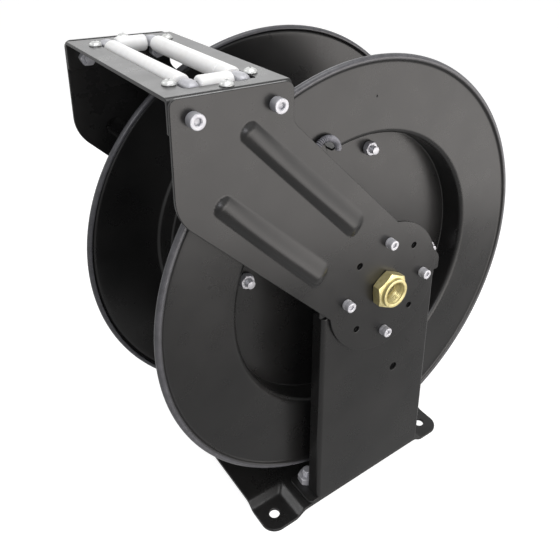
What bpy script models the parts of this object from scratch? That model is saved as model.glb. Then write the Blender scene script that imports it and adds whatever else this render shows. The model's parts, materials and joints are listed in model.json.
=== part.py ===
"""Spring driven hose reel on two pedestals, modelled at its real size.

World frame: metres, +Z up, the floor at z = 0 and the drum's axis along Y.
The inlet side faces -Y and the roller arm reaches out over -X.
"""

import math

import bmesh
import bpy
from mathutils import Matrix, Vector

MM = 0.001

# Driving sizes of the whole reel
DISC_RADIUS = 225 * MM
FLOOR_ROOM = 25 * MM
AXIS_HEIGHT = DISC_RADIUS + FLOOR_ROOM
FRAME_HALF = 112 * MM
SHEET = 3 * MM
DRUM_SHIFT = 2.75 * MM
DRUM_ROOM = 27.75 * MM
RIM_SPAN = 2 * (FRAME_HALF - DRUM_ROOM)
GAP = 0.3 * MM
MERGE = 0.01 * MM
HAIR = 0.02 * MM
GRID_DIGITS = 7
FLATNESS = 0.002

# Sides of round shapes, from the discs down to small holes
SIDES_DISC = 40
SIDES_HUB = 24
SIDES_SHAFT = 16
SIDES_SCREW = 10
SIDES_HOLE = 8
RUN = 0.35 * MM
SEAM = 0.8 * MM

# Levels across the frame, from the arms inward
PEDESTAL_OUTER = FRAME_HALF - SHEET - GAP
PEDESTAL_INNER = PEDESTAL_OUTER - SHEET
FLANGE_SHEET = 7 * MM
FLANGE_INNER = PEDESTAL_INNER - GAP - FLANGE_SHEET

# Stamped discs of the drum, whose dish has room for the tie studs
DISC_SHEET = 1.5 * MM
BEAD_RADIUS = 3.5 * MM
BEAD_CREST = 2.9 * MM
STUD_CIRCLE = 125 * MM
STUD_EDGE = 22.4 * MM
RECESS_RADIUS = STUD_CIRCLE + STUD_EDGE
RECESS_DEPTH = 28.2 * MM
LIP_RADIUS = 6 * MM
FLOOR_CORNER = 3 * MM
HANG_HOLE = 3.2 * MM
HANG_HOLE_RADIUS = 186 * MM
HANG_HOLE_ANGLE = 89
CORE_SHEET = 1.5 * MM
RING_OUTER = RIM_SPAN / 2 - BEAD_CREST
FLOOR_OUTER = RING_OUTER - RECESS_DEPTH
FLOOR_INNER = FLOOR_OUTER - DISC_SHEET

# Studs that tie the two discs together
STUD_RADIUS = 4 * MM
STUD_ANGLE = 80
STUD_COUNT = 4
STUD_STICK_OUT = 6 * MM
STUD_NUT_FLATS = 13 * MM
STUD_NUT_HEIGHT = 6.5 * MM

# Arms that carry the rollers clear of the discs
ARM_INSET = 11.5 * MM
ARM_LEFT = DISC_RADIUS - ARM_INSET
ARM_TOP = DISC_RADIUS
ARM_WIDTH = 101.4 * MM
ARM_HALF_BAND = 55.9 * MM
ARM_HEAD_RADIUS = 69.3 * MM
ARM_CORNER_LEFT = 6 * MM
ARM_CORNER_RIGHT = 8 * MM
ARM_ELBOW_RADIUS = 40 * MM
ARM_INNER_FILLET = 12 * MM
BEAD_OFFSET = 27.5 * MM
BEAD_HALF_WIDTH = 9.5 * MM
BEAD_HEIGHT = 5 * MM
BEAD_START = 84 * MM
BEAD_CLEAR = (70.2 * MM, 75.9 * MM)
BEAD_SPANS = ((BEAD_START, ARM_TOP * math.sqrt(2) - BEAD_CLEAR[0]),
              (BEAD_START, ARM_LEFT * math.sqrt(2) - BEAD_CLEAR[1]))

# Bolt circle round the hub
HUB_CIRCLE = 50 * MM
HUB_HOLES = 8
HUB_HOLE_RADIUS = 3.4 * MM
SHANK_RADIUS = 12 * MM
FLANGE_RADIUS = 62 * MM

# Socket head screws: shank radius, head radius, head height
HUB_SCREW = (3 * MM, 5 * MM, 6 * MM)
BRACKET_SCREW = (4 * MM, 6.5 * MM, 8 * MM)
GUIDE_BOLT = (3 * MM, 5.25 * MM, 4 * MM)
HUB_WASHER = (5.2 * MM, 2.4 * MM)
SOCKET_SHARE = 0.5

# Pedestals
PEDESTAL_HALF = 74.5 * MM
PEDESTAL_HEAD_HALF = 79 * MM
PEDESTAL_HEAD_TOP = 66 * MM
PEDESTAL_SHOULDER = 7.5 * MM
PEDESTAL_SAG = 0.5 * MM
PEDESTAL_RELIEF = 3.5 * MM
PEDESTAL_FLANGE = 16 * MM
PEDESTAL_BEND = 4.5 * MM
PEDESTAL_FOOT_LEFT = 84 * MM
PEDESTAL_FOOT_CORNER = 5 * MM
PEDESTAL_FOOT_DEPTH = 38 * MM
PAWL_HOLE_X = 23.5 * MM
PAWL_HOLE_DROP = 111 * MM
PAWL_HOLE_RADIUS = 4.5 * MM

# Base plate with four lowered feet
BASE_LEFT = 133 * MM
BASE_RIGHT = 115 * MM
BASE_INSET = 0.2 * MM
BASE_HALF_DEPTH = PEDESTAL_OUTER - BASE_INSET
BASE_RAISE = 6.2 * MM
BASE_CORNER = 15 * MM
FOOT_LENGTH = 34 * MM
FOOT_DEPTH = 35 * MM
FOOT_SLOPE = 9 * MM
FOOT_HOLE_INSET_X = 17 * MM
FOOT_HOLE_INSET_Y = 19 * MM
FOOT_HOLE_RADIUS = 5.5 * MM

# Bolts that hold the pedestals down: shank radius, flats, nut height
ANCHOR_RADIUS = 5 * MM
ANCHOR_FLATS = 17 * MM
ANCHOR_NUT = 8 * MM
ANCHOR_HEAD = 4.8 * MM
ANCHOR_LEFT = 69 * MM
ANCHOR_RIGHT = 58 * MM
ANCHOR_INSET = 26.5 * MM
ANCHOR_STICK_OUT = 7 * MM

# Roller bracket on top
BRACKET_FLANGE = 27 * MM
BRACKET_BEND = 4.5 * MM
BRACKET_SCREW_DROP = 16 * MM
BRACKET_SCREW_SPACING = 68 * MM
BRACKET_NUT_FLATS = 13 * MM
BRACKET_NUT = 8 * MM
WINDOW_WIDTH = 60 * MM
WINDOW_INSET = 17.7 * MM
WINDOW_LENGTH = 2 * (PEDESTAL_OUTER - WINDOW_INSET)
CORNER_BOLT_OUT = 3.8 * MM
CORNER_BOLT_IN = 15 * MM
CORNER_BOLT_X = WINDOW_WIDTH / 2 + CORNER_BOLT_OUT
CORNER_BOLT_Y = WINDOW_LENGTH / 2 - CORNER_BOLT_IN
END_BOLT_OUT = 8 * MM
END_BOLT_Y = WINDOW_LENGTH / 2 + END_BOLT_OUT
GUIDE_NUT_FLATS = 10 * MM
GUIDE_NUT = 5 * MM

# Rollers and their carrier
ROLLER_RADIUS = 7.6 * MM
ROLLER_INSET = 8.5 * MM
ROLLER_SPACING = WINDOW_WIDTH - 2 * ROLLER_INSET
LONG_CLEAR = 20.5 * MM
ROLLER_HALF_LONG = WINDOW_LENGTH / 2 - LONG_CLEAR
SHORT_CLEAR = 15.7 * MM
ROLLER_HALF_SHORT = WINDOW_WIDTH / 2 - SHORT_CLEAR
ROLLER_END_CLEAR = 10.5 * MM
ROLLER_END_Y = WINDOW_LENGTH / 2 - ROLLER_END_CLEAR
ROLLER_ROUND = 2.5 * MM
ROLLER_SEAM = 18 * MM
PIN_RADIUS = 3 * MM
PIN_DROP = 2.6 * MM
CARRIER_SHEET = 2.5 * MM
CARRIER_EDGE_X = 7.2 * MM
CARRIER_EDGE_Y = 5 * MM
CARRIER_HALF_X = CORNER_BOLT_X + CARRIER_EDGE_X
CARRIER_HALF_Y = END_BOLT_Y + CARRIER_EDGE_Y
SADDLE_HEIGHT = 3.2 * MM
SADDLE_INSET = 2 * MM
SADDLE_ROUND = 2.8 * MM
PIN_GRIP = 5 * MM

# Brass inlet
INLET_FLATS = 34 * MM
INLET_HEX = 10 * MM
INLET_BOSS = 5 * MM
INLET_BOSS_RADIUS = 15 * MM
INLET_BORE = 12.1 * MM
INLET_BORE_DEPTH = 12.5 * MM
INLET_EDGE = 0.7 * MM
WATERWAY = 5 * MM
OUTLET_SETBACK = 12.6 * MM
OUTLET_LEVEL = RING_OUTER - OUTLET_SETBACK - DRUM_SHIFT
SHANK_PAST = 10 * MM
SHANK_END = OUTLET_LEVEL - SHANK_PAST
SEAL_WIDTH = 2.6 * MM
SEAL_DEPTH = 2 * MM

# Swivel, gooseneck and hose outlet
SWIVEL_RADIUS = 22 * MM
SWIVEL_FLANGE_RADIUS = 44 * MM
SWIVEL_FLANGE = 6 * MM
SWIVEL_CLEAR = 0.4 * MM
SWIVEL_FRONT = FLANGE_INNER - SWIVEL_CLEAR
SEAL_INSET = 12 * MM
SEAL_SPOT = SWIVEL_FRONT - SEAL_INSET
SWIVEL_NECK = 6 * MM
OUTLET_ANGLE = 111
OUTLET_OFFSET = 7.6 * MM
OUTLET_CIRCLE = RECESS_RADIUS + OUTLET_OFFSET
OUTLET_HOLE = 12.5 * MM
OUTLET_CUT = 22.5 * MM
TRIM_RADIUS = 3.2 * MM
TRIM_SWEEP = 236
PIPE_RADIUS = 6.5 * MM
PIPE_BORE = 4.5 * MM
FITTING_FLATS = 17 * MM
FITTING_LENGTH = 11 * MM

# Main shaft, bearings and the wound spring
SHAFT_RADIUS = 12.5 * MM
SHAFT_FRONT = 2 * MM
SHAFT_STEP = 5 * MM
SHAFT_END = 15 * MM
SHAFT_SQUARE = 17 * MM
BEARING_RADIUS = 19 * MM
BEARING_FLANGE_RADIUS = 30 * MM
BEARING_FLANGE = 6 * MM
BEARING_STAND = 30 * MM
CASE_ROOM = 17 * MM
CASE_RADIUS = STUD_CIRCLE - CASE_ROOM
CASE_DEPTH = 50 * MM
CASE_SHEET = 2 * MM
SPRING_INNER = 70 * MM
COLLAR_RADIUS = 22 * MM
COLLAR_SPAN = (8 * MM, 34 * MM)

# Ratchet and pawl
RATCHET_RADIUS = 88 * MM
RATCHET_NOTCHES = 12
RATCHET_NOTCH = 8.5 * MM
RATCHET_SHEET = 5 * MM
RATCHET_STAND_OFF = 18 * MM
SLEEVE_RADIUS = 50 * MM
PAWL_LAP = 7.54 * MM
PAWL_LENGTH = math.hypot(PAWL_HOLE_X, PAWL_HOLE_DROP) - RATCHET_RADIUS + PAWL_LAP
PAWL_EYE = 9 * MM
PAWL_TIP = 2.4 * MM
PAWL_TRAVEL = 3.5 * MM
PAWL_REST = RATCHET_RADIUS + PAWL_TRAVEL
PAWL_ENGAGED = RATCHET_RADIUS - PAWL_TRAVEL
PAWL_PIN_RADIUS = 4 * MM
PAWL_PIN_HEAD = 7 * MM
PAWL_SPACER = 14 * MM
PAWL_CLIP = 1.2 * MM
SPRING_TURNS = 4
SPRING_SIDES = 8
SPRING_WIRE = 0.8 * MM

# Levels that follow from the sizes above
BASE_TOP = BASE_RAISE + SHEET
WINDOW_X = ARM_WIDTH / 2 - ARM_LEFT
PIN_Z = AXIS_HEIGHT + ARM_TOP - PIN_DROP
FRONT = -1
REAR = 1
ALONG_X = Matrix.Rotation(math.radians(-90), 4, "Z")


# Scene and materials

def clear_scene():
    """Remove every object, and make the two collections."""
    for item in list(bpy.data.objects):
        bpy.data.objects.remove(item, do_unlink=True)
    made = []
    for name in ("hose_reel", "cutters"):
        collection = bpy.data.collections.new(name)
        bpy.context.scene.collection.children.link(collection)
        made.append(collection)
    return made


PARTS, CUTTERS = clear_scene()


def material(name, colour, roughness, metallic=0.0):
    """Return a Principled material with the given surface values."""
    found = bpy.data.materials.get(name)
    if found:
        return found
    made = bpy.data.materials.new(name)
    made.use_nodes = True
    shader = made.node_tree.nodes["Principled BSDF"]
    shader.inputs["Base Color"].default_value = (*colour, 1.0)
    shader.inputs["Roughness"].default_value = roughness
    shader.inputs["Metallic"].default_value = metallic
    return made


def black_paint():
    return material("black_paint", (0.022, 0.022, 0.024), 0.34)


def zinc():
    return material("zinc_plate", (0.72, 0.73, 0.75), 0.28, 1.0)


def brass():
    return material("brass", (0.75, 0.58, 0.25), 0.3, 1.0)


def steel():
    return material("steel", (0.45, 0.45, 0.46), 0.35, 1.0)


def nylon():
    return material("white_nylon", (0.86, 0.86, 0.84), 0.45)


def rubber():
    return material("rubber", (0.03, 0.03, 0.03), 0.7)


def spring_steel():
    return material("spring_steel", (0.2, 0.22, 0.28), 0.4, 1.0)


# Helpers that make and join shapes

def place(item, collection, surface=None):
    """Put an object in one collection, and give it its material."""
    for home in list(item.users_collection):
        home.objects.unlink(item)
    collection.objects.link(item)
    if surface:
        item.data.materials.clear()
        item.data.materials.append(surface)
    return item


def hide(item):
    """Turn an object into a cutter that is not part of the reel."""
    place(item, CUTTERS)
    item.hide_render = True
    item.display_type = "WIRE"
    return item


def object_from(bm, name):
    """Make an object from a bmesh."""
    mesh = bpy.data.meshes.new(name)
    bm.to_mesh(mesh)
    bm.free()
    item = bpy.data.objects.new(name, mesh)
    PARTS.objects.link(item)
    return item


def facing(axis):
    """Return the turn that takes local Z to the given direction."""
    return Vector((0, 0, 1)).rotation_difference(Vector(axis)).to_matrix().to_4x4()


def add_cylinder(bm, radius, length, centre, axis=(0, 1, 0), sides=SIDES_SHAFT, turn=0.0, far=None):
    """Add a cylinder, or a cone where far is the radius at its other end."""
    spin = Matrix.Rotation(math.radians(turn), 4, "Z")
    matrix = Matrix.Translation(centre) @ facing(axis) @ spin
    bmesh.ops.create_cone(bm, cap_ends=True, segments=sides, radius1=radius,
                          radius2=radius if far is None else far, depth=length, matrix=matrix)


def add_box(bm, low, high):
    """Add a box between two corners."""
    low = Vector(low)
    high = Vector(high)
    size = Matrix.Diagonal((*(high - low), 1))
    bmesh.ops.create_cube(bm, size=1, matrix=Matrix.Translation((low + high) / 2) @ size)


def drawn_curve(name, points, depth):
    """Return a filled flat outline in local XY, extruded to the depth."""
    curve = bpy.data.curves.new(name, "CURVE")
    curve.dimensions = "2D"
    curve.fill_mode = "BOTH"
    curve.extrude = depth / 2
    spline = curve.splines.new("POLY")
    spline.points.add(len(points) - 1)
    for point, (x, y) in zip(spline.points, points):
        point.co = (x, y, 0, 1)
    spline.use_cyclic_u = True
    item = bpy.data.objects.new(name, curve)
    PARTS.objects.link(item)
    return item


def tube_curve(name, points, radius, resolution=2):
    """Return a round tube with filled caps along the points."""
    curve = bpy.data.curves.new(name, "CURVE")
    curve.dimensions = "3D"
    curve.bevel_depth = radius
    curve.bevel_resolution = resolution
    curve.use_fill_caps = True
    spline = curve.splines.new("POLY")
    spline.points.add(len(points) - 1)
    for point, co in zip(spline.points, points):
        point.co = (*co, 1)
    item = bpy.data.objects.new(name, curve)
    PARTS.objects.link(item)
    return item


def baked(item, name=None):
    """Replace an object by a mesh object of its evaluated shape in the world.

    Its points are set on a very fine grid, so that level faces are exactly level.
    An extruded outline's caps become single faces.
    """
    name = name or item.name
    outline = item.type == "CURVE" and item.data.dimensions == "2D"
    bpy.context.view_layer.update()
    graph = bpy.context.evaluated_depsgraph_get()
    mesh = bpy.data.meshes.new_from_object(item.evaluated_get(graph))
    mesh.transform(item.matrix_world)
    bm = bmesh.new()
    bm.from_mesh(mesh)
    for vert in bm.verts:
        vert.co = [round(value, GRID_DIGITS) for value in vert.co]
    bmesh.ops.remove_doubles(bm, verts=bm.verts, dist=MERGE)
    if outline:
        bmesh.ops.dissolve_limit(bm, angle_limit=FLATNESS, verts=bm.verts, edges=bm.edges)
    bm.to_mesh(mesh)
    bm.free()
    bpy.data.objects.remove(item, do_unlink=True)
    mesh.name = name
    solid = bpy.data.objects.new(name, mesh)
    PARTS.objects.link(solid)
    return solid


def outline_plate(name, points, thickness, y, z=AXIS_HEIGHT):
    """Return an upright plate whose outline is given as (x, z) round the hub.

    The plate's middle plane lies at the given y.
    """
    item = drawn_curve(name, points, thickness)
    item.rotation_euler = (math.radians(90), 0, 0)
    item.location = (0, y, z)
    return baked(item)


def flat_plate(name, points, thickness, z):
    """Return a level plate, or an upright extrusion, of an (x, y) outline."""
    item = drawn_curve(name, points, thickness)
    item.location = (0, 0, z)
    return baked(item)


def turned(name, profile, steps=SIDES_HUB, y=0.0, closed=True, x=0.0, z=AXIS_HEIGHT,
           turn=Matrix.Identity(4), sheet=0.0):
    """Return a turned shape about an axis along +Y, from (radius, y) points.

    A sheet other than 0 makes a shell: an open profile thickened to one side.
    """
    mesh = bpy.data.meshes.new(name)
    count = len(profile)
    edges = [(i, i + 1) for i in range(count - 1)]
    if closed:
        edges.append((count - 1, 0))
    mesh.from_pydata([(r, 0, h) for r, h in profile], edges, [])
    item = bpy.data.objects.new(name, mesh)
    PARTS.objects.link(item)
    screw = item.modifiers.new("turn", "SCREW")
    screw.steps = steps
    screw.render_steps = steps
    screw.use_merge_vertices = True
    screw.merge_threshold = MERGE
    if sheet:
        shell = item.modifiers.new("sheet", "SOLIDIFY")
        shell.thickness = abs(sheet)
        shell.offset = math.copysign(1, sheet)
        shell.use_even_offset = True
    item.matrix_world = (Matrix.Translation((x, y, z)) @ turn
                         @ Matrix.Rotation(math.radians(-90), 4, "X"))
    return baked(item)


def ring_profile(outer, inner, low, high):
    """Return a closed profile that runs down the outer side of a ring."""
    return [(outer, high), (outer, low), (inner, low), (inner, high)]


def boolean(item, tool, operation="DIFFERENCE"):
    """Cut, join or intersect an object with a hidden second object."""
    step = item.modifiers.new(operation.lower(), "BOOLEAN")
    step.operation = operation
    step.solver = "EXACT"
    step.object = hide(tool)
    return baked(item)


def drill(item, name, spots, radius, length, axis=(0, 1, 0), sides=SIDES_HOLE, turn=0.0):
    """Cut one round hole at each spot, whose flats lie at the radius."""
    bm = bmesh.new()
    wide = radius / math.cos(math.pi / sides)
    for spot in spots:
        add_cylinder(bm, wide, length, spot, axis, sides, turn)
    return boolean(item, object_from(bm, name + "_holes"))


def soften(item, width, angle=40, segments=1):
    """Round the sharp edges of an object."""
    step = item.modifiers.new("edge", "BEVEL")
    step.width = width
    step.segments = segments
    step.limit_method = "ANGLE"
    step.angle_limit = math.radians(angle)
    step.harden_normals = False
    return item


def adopt(part, parent):
    """Hang a part under the empty on its joint's axis."""
    if parent:
        part.parent = parent
        part.matrix_parent_inverse = parent.matrix_world.inverted()
    return part


def finish(item, name, surface, parent=None, smooth=True):
    """Bake an object as a named part with its material."""
    part = baked(item, name)
    part.name = name
    corners = [Vector(corner) for corner in part.bound_box]
    middle = (corners[0] + corners[6]) / 2
    part.data.transform(Matrix.Translation(-middle))
    part.matrix_world = Matrix.Translation(middle)
    place(part, PARTS, surface)
    if smooth:
        part.data.shade_smooth()
        part.data.set_sharp_from_angle(angle=math.radians(32))
    return adopt(part, parent)


def copies(name, template, places, surface, parent=None):
    """Make equal parts that share one mesh, one for each placing matrix."""
    source = finish(template, name + "_1", surface)
    stand = source.matrix_world.copy()
    for i, matrix in enumerate(places):
        part = source
        if i:
            part = bpy.data.objects.new(f"{name}_{i + 1}", source.data)
            PARTS.objects.link(part)
        part.matrix_world = matrix @ stand
        adopt(part, parent)


def on_circle(radius, angle, y=0.0):
    """Return a point on a circle round the drum's axis."""
    turn = math.radians(angle)
    return Vector((radius * math.cos(turn), y, AXIS_HEIGHT + radius * math.sin(turn)))


def arc(centre, radius, start, end, steps):
    """Return points on an arc between two angles in degrees."""
    points = []
    for i in range(steps + 1):
        turn = math.radians(start + (end - start) * i / steps)
        points.append((centre[0] + radius * math.cos(turn), centre[1] + radius * math.sin(turn)))
    return points


def rounded(corners, steps=5):
    """Return an outline whose (x, y, radius) corners are rounded."""
    outline = []
    count = len(corners)
    for i, (x, y, radius) in enumerate(corners):
        here = Vector((x, y))
        if radius <= 0:
            outline.append((x, y))
            continue
        back = (Vector(corners[i - 1][:2]) - here).normalized()
        ahead = (Vector(corners[(i + 1) % count][:2]) - here).normalized()
        half = back.angle(ahead) / 2
        centre = here + (back + ahead).normalized() * radius / math.sin(half)
        first = here + back * radius / math.tan(half) - centre
        last = here + ahead * radius / math.tan(half) - centre
        swing = first.angle_signed(last)
        for k in range(steps + 1):
            spoke = first.copy()
            spoke.rotate(Matrix.Rotation(-swing * k / steps, 2))
            outline.append(tuple(centre + spoke))
    return outline


def hub_spots(y, share=1):
    """Return the points of the bolt circle, or every second one."""
    step = 360 / HUB_HOLES * share
    return [on_circle(HUB_CIRCLE, step * i, y) for i in range(HUB_HOLES // share)]


def side_turn(side):
    """Return the half turn about Z that takes the front side to the rear."""
    return Matrix.Rotation(0 if side == FRONT else math.pi, 4, "Z")


# Drum

def disc_profile():
    """Return the outer face of a disc as (radius, distance from ring face)."""
    floor = RECESS_DEPTH
    points = [(BEARING_RADIUS + GAP, floor)]
    points += arc((RECESS_RADIUS - FLOOR_CORNER, floor - FLOOR_CORNER), FLOOR_CORNER, 90, 0, 1)
    points += arc((RECESS_RADIUS + LIP_RADIUS, LIP_RADIUS), LIP_RADIUS, 180, 270, 2)
    centre = (DISC_RADIUS - BEAD_RADIUS, BEAD_RADIUS - BEAD_CREST)
    start = math.degrees(math.asin(centre[1] / BEAD_RADIUS))
    points += arc(centre, BEAD_RADIUS, 180 + start, 270, 1)
    points += arc(centre, BEAD_RADIUS, 310, 460, 3)
    return points


def drum_disc(side, axis):
    """One stamped disc: dished centre, flat ring and a curled rim."""
    name = "front_disc" if side == FRONT else "rear_disc"
    face = RING_OUTER
    profile = [(r, side * (face - d)) for r, d in disc_profile()]
    disc = turned(name, profile, SIDES_DISC, DRUM_SHIFT, closed=False,
                  sheet=-side * DISC_SHEET)
    floor = DRUM_SHIFT + side * FLOOR_OUTER
    studs = [on_circle(STUD_CIRCLE, STUD_ANGLE + 360 / STUD_COUNT * i, floor)
             for i in range(STUD_COUNT)]
    disc = drill(disc, name + "_stud", studs, STUD_RADIUS + GAP, 4 * DISC_SHEET)
    if side == FRONT:
        depth = OUTLET_CUT + LIP_RADIUS
        cut = on_circle(OUTLET_CIRCLE, OUTLET_ANGLE, DRUM_SHIFT - face + OUTLET_CUT - depth / 2)
        disc = drill(disc, name + "_outlet", [cut], OUTLET_HOLE, depth, sides=SIDES_SHAFT)
        mark = on_circle(HANG_HOLE_RADIUS, HANG_HOLE_ANGLE, DRUM_SHIFT - face)
        disc = drill(disc, name + "_hang", [mark], HANG_HOLE / 2, 6 * DISC_SHEET, sides=8)
    return finish(disc, name, black_paint(), axis)


def drum_core(axis):
    """The barrel between the two dished centres."""
    half = FLOOR_INNER - GAP
    outer = RECESS_RADIUS - GAP
    core = turned("drum_core", ring_profile(outer, outer - CORE_SHEET, -half, half),
                  SIDES_DISC, DRUM_SHIFT)
    return finish(core, "drum_core", black_paint(), axis)


def stud_places(lift=0.0):
    """Return one placing matrix for each tie stud."""
    spots = [on_circle(STUD_CIRCLE, STUD_ANGLE + 360 / STUD_COUNT * i, lift)
             for i in range(STUD_COUNT)]
    return [Matrix.Translation(spot) for spot in spots]


def hex_body(name, flats, low, high, z=0.0, turn=30):
    """Return a plain hexagon along Y between two levels."""
    bm = bmesh.new()
    add_cylinder(bm, flats / math.sqrt(3), high - low, (0, (low + high) / 2, z), sides=6,
                 turn=turn)
    return object_from(bm, name)


def crowned(item, flats, low, high, z):
    """Chamfer the corners of a hexagon's outer end."""
    flat = flats / 2
    edge = flats / math.sqrt(3) - flat
    wide = flat + 2 * edge
    lens = [(0, high + edge), (wide, high + edge), (wide, low + edge), (flat, low), (0, low)]
    return boolean(item, turned(item.name + "_crown", lens, closed=False, z=z), "INTERSECT")


def rod_profile(radius, low, high, edge):
    """Return the open profile of a rod with chamfered ends."""
    return [(0, high), (radius - edge, high), (radius, high - edge),
            (radius, low + edge), (radius - edge, low), (0, low)]


def tie_studs(axis):
    """Threaded studs and their nuts, which clamp both discs on the core."""
    seat = FLOOR_OUTER + GAP
    half = seat + STUD_NUT_HEIGHT + STUD_STICK_OUT
    stud = turned("tie_stud", rod_profile(STUD_RADIUS, -half, half, STUD_RADIUS / 4), SIDES_SCREW,
                  closed=False, z=0)
    for low in (-seat - STUD_NUT_HEIGHT, seat):
        nut = hex_body("stud_nut", STUD_NUT_FLATS, low, low + STUD_NUT_HEIGHT)
        stud = boolean(stud, nut, "UNION")
    copies("tie_stud", stud, stud_places(DRUM_SHIFT), zinc(), axis)


def rear_bearing(axis):
    """The flanged bush in the rear disc's floor that runs on the shaft."""
    face = FLOOR_INNER - GAP
    bore = SHAFT_RADIUS + RUN
    profile = [(BEARING_RADIUS, FLOOR_OUTER + BEARING_STAND), (BEARING_RADIUS, face),
               (BEARING_FLANGE_RADIUS, face), (BEARING_FLANGE_RADIUS, face - BEARING_FLANGE),
               (bore, face - BEARING_FLANGE), (bore, FLOOR_OUTER + BEARING_STAND)]
    return finish(turned("rear_bearing", profile, y=DRUM_SHIFT), "rear_bearing", nylon(), axis)


def spring_case(axis):
    """The can on the rear disc's floor that the power spring pushes round."""
    back = FLOOR_INNER - GAP
    mouth = back - CASE_DEPTH
    hole = SHAFT_RADIUS + 3 * RUN
    inner = CASE_RADIUS - CASE_SHEET
    profile = [(CASE_RADIUS, back), (CASE_RADIUS, mouth), (hole, mouth),
               (hole, mouth + CASE_SHEET), (inner, mouth + CASE_SHEET), (inner, back)]
    return finish(turned("spring_case", profile, y=DRUM_SHIFT), "spring_case", steel(), axis)


def power_spring(axis):
    """The wound flat spring, as the plain ring that its turns fill at rest."""
    back = FLOOR_INNER - 2 * GAP
    front = FLOOR_INNER - GAP - CASE_DEPTH + CASE_SHEET + GAP
    outer = CASE_RADIUS - CASE_SHEET - GAP
    ring = turned("power_spring", ring_profile(outer, SPRING_INNER, front, back),
                  y=DRUM_SHIFT)
    return finish(ring, "power_spring", spring_steel(), axis)


# Swivel and hose outlet

def pipe_y():
    """Return where the outlet pipe's axis crosses the drum's axis."""
    return -OUTLET_LEVEL


def radial(angle):
    """Return the unit vector that points out from the axis at an angle."""
    return on_circle(1, angle) - on_circle(0, 0)


def swivel_housing(axis):
    """The turning half of the swivel, which carries the front of the drum."""
    floor = DRUM_SHIFT - FLOOR_OUTER - GAP
    neck = DRUM_SHIFT - FLOOR_INNER + SWIVEL_NECK
    step = floor - SWIVEL_FLANGE
    bore = SHANK_RADIUS + RUN
    groove = bore + SEAL_DEPTH + GAP
    low = -SEAL_SPOT - SEAL_WIDTH / 2 - GAP
    high = -SEAL_SPOT + SEAL_WIDTH / 2 + GAP
    profile = [(BEARING_RADIUS, neck), (BEARING_RADIUS, floor), (SWIVEL_FLANGE_RADIUS, floor),
               (SWIVEL_FLANGE_RADIUS, step), (SWIVEL_RADIUS, step),
               (SWIVEL_RADIUS, -SWIVEL_FRONT), (bore, -SWIVEL_FRONT), (bore, low),
               (groove, low), (groove, high), (bore, high), (bore, neck)]
    body = turned("swivel_housing", profile, SIDES_SHAFT)
    port = on_circle(SWIVEL_RADIUS, OUTLET_ANGLE, pipe_y())
    body = drill(body, "swivel_port", [port], PIPE_BORE, SWIVEL_RADIUS, radial(OUTLET_ANGLE))
    return finish(body, "swivel_housing", zinc(), axis)


def swivel_seal():
    """The packing ring that stays on the inlet's shank."""
    inner = SHANK_RADIUS + GAP / 2
    outer = SHANK_RADIUS + RUN + SEAL_DEPTH
    low = -SEAL_SPOT - SEAL_WIDTH / 2
    ring = turned("swivel_seal", ring_profile(outer, inner, low, low + SEAL_WIDTH), SIDES_SHAFT)
    return finish(ring, "swivel_seal", rubber())


def along_outlet(distance):
    """Return the matrix that stands a Y-axis shape along the outlet pipe."""
    spot = on_circle(distance, OUTLET_ANGLE, pipe_y())
    return Matrix.Translation(spot) @ Matrix.Rotation(-math.radians(OUTLET_ANGLE - 90), 4, "Y") \
        @ Matrix.Rotation(math.radians(90), 4, "X")


def outlet_pipe(axis):
    """The pipe that takes water from the swivel to the hose outlet."""
    inner = SWIVEL_RADIUS + GAP
    outer = RECESS_RADIUS - GAP
    pipe = turned("outlet_pipe", ring_profile(PIPE_RADIUS, PIPE_BORE, 0, outer - inner), SIDES_SCREW, z=0)
    pipe.matrix_world = along_outlet(inner)
    return finish(pipe, "outlet_pipe", steel(), axis)


def hose_fitting(axis):
    """The socket in the notch of the disc that takes the hose's end."""
    nut = hex_body("hose_fitting", FITTING_FLATS, 0, FITTING_LENGTH)
    nut = drill(nut, "fitting", [(0, 0, 0)], PIPE_BORE, 4 * FITTING_LENGTH)
    nut.matrix_world = along_outlet(RECESS_RADIUS)
    return finish(nut, "hose_fitting", zinc(), axis)


def outlet_trim(axis):
    """The ribbed edging round the notch where the hose leaves the dish."""
    ring = OUTLET_HOLE + GAP
    y = DRUM_SHIFT - RING_OUTER - TRIM_RADIUS - GAP
    centre = on_circle(OUTLET_CIRCLE, OUTLET_ANGLE, y)
    points = []
    steps = 16
    for i in range(steps + 1):
        turn = math.radians(OUTLET_ANGLE - TRIM_SWEEP / 2 + TRIM_SWEEP * i / steps)
        points.append(centre + ring * Vector((math.cos(turn), 0, math.sin(turn))))
    trim = tube_curve("outlet_trim", points, TRIM_RADIUS)
    return finish(trim, "outlet_trim", rubber(), axis)


# Fasteners

def socket_screw(name, sizes, reach, washer=(0, 0)):
    """Return a socket head screw along Y, with its head or washer seated at 0."""
    shank, head, height = sizes
    wide, sheet = washer
    profile = [(0, reach), (shank, reach), (shank, 0)]
    if sheet:
        profile += [(wide, 0), (wide, -sheet)]
    top = -sheet - height
    profile += [(head, -sheet), (head, top), (0, top)]
    screw = turned(name, profile, SIDES_SCREW, closed=False, z=0)
    bm = bmesh.new()
    depth = height * SOCKET_SHARE
    add_cylinder(bm, head * 0.55, 2 * depth, (0, top, 0), sides=6)
    return boolean(screw, object_from(bm, name + "_key"))


def hub_screws(side):
    """Four screws with their washers, through arm, pedestal and hub flange."""
    name = "hub_screw_front" if side == FRONT else "hub_screw_rear"
    seat = FRAME_HALF + GAP
    screw = socket_screw("hub_screw", HUB_SCREW, seat - FLANGE_INNER, washer=HUB_WASHER)
    places = [Matrix.Translation(spot) @ side_turn(side) for spot in hub_spots(side * seat, 2)]
    copies(name, screw, places, zinc())


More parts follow.
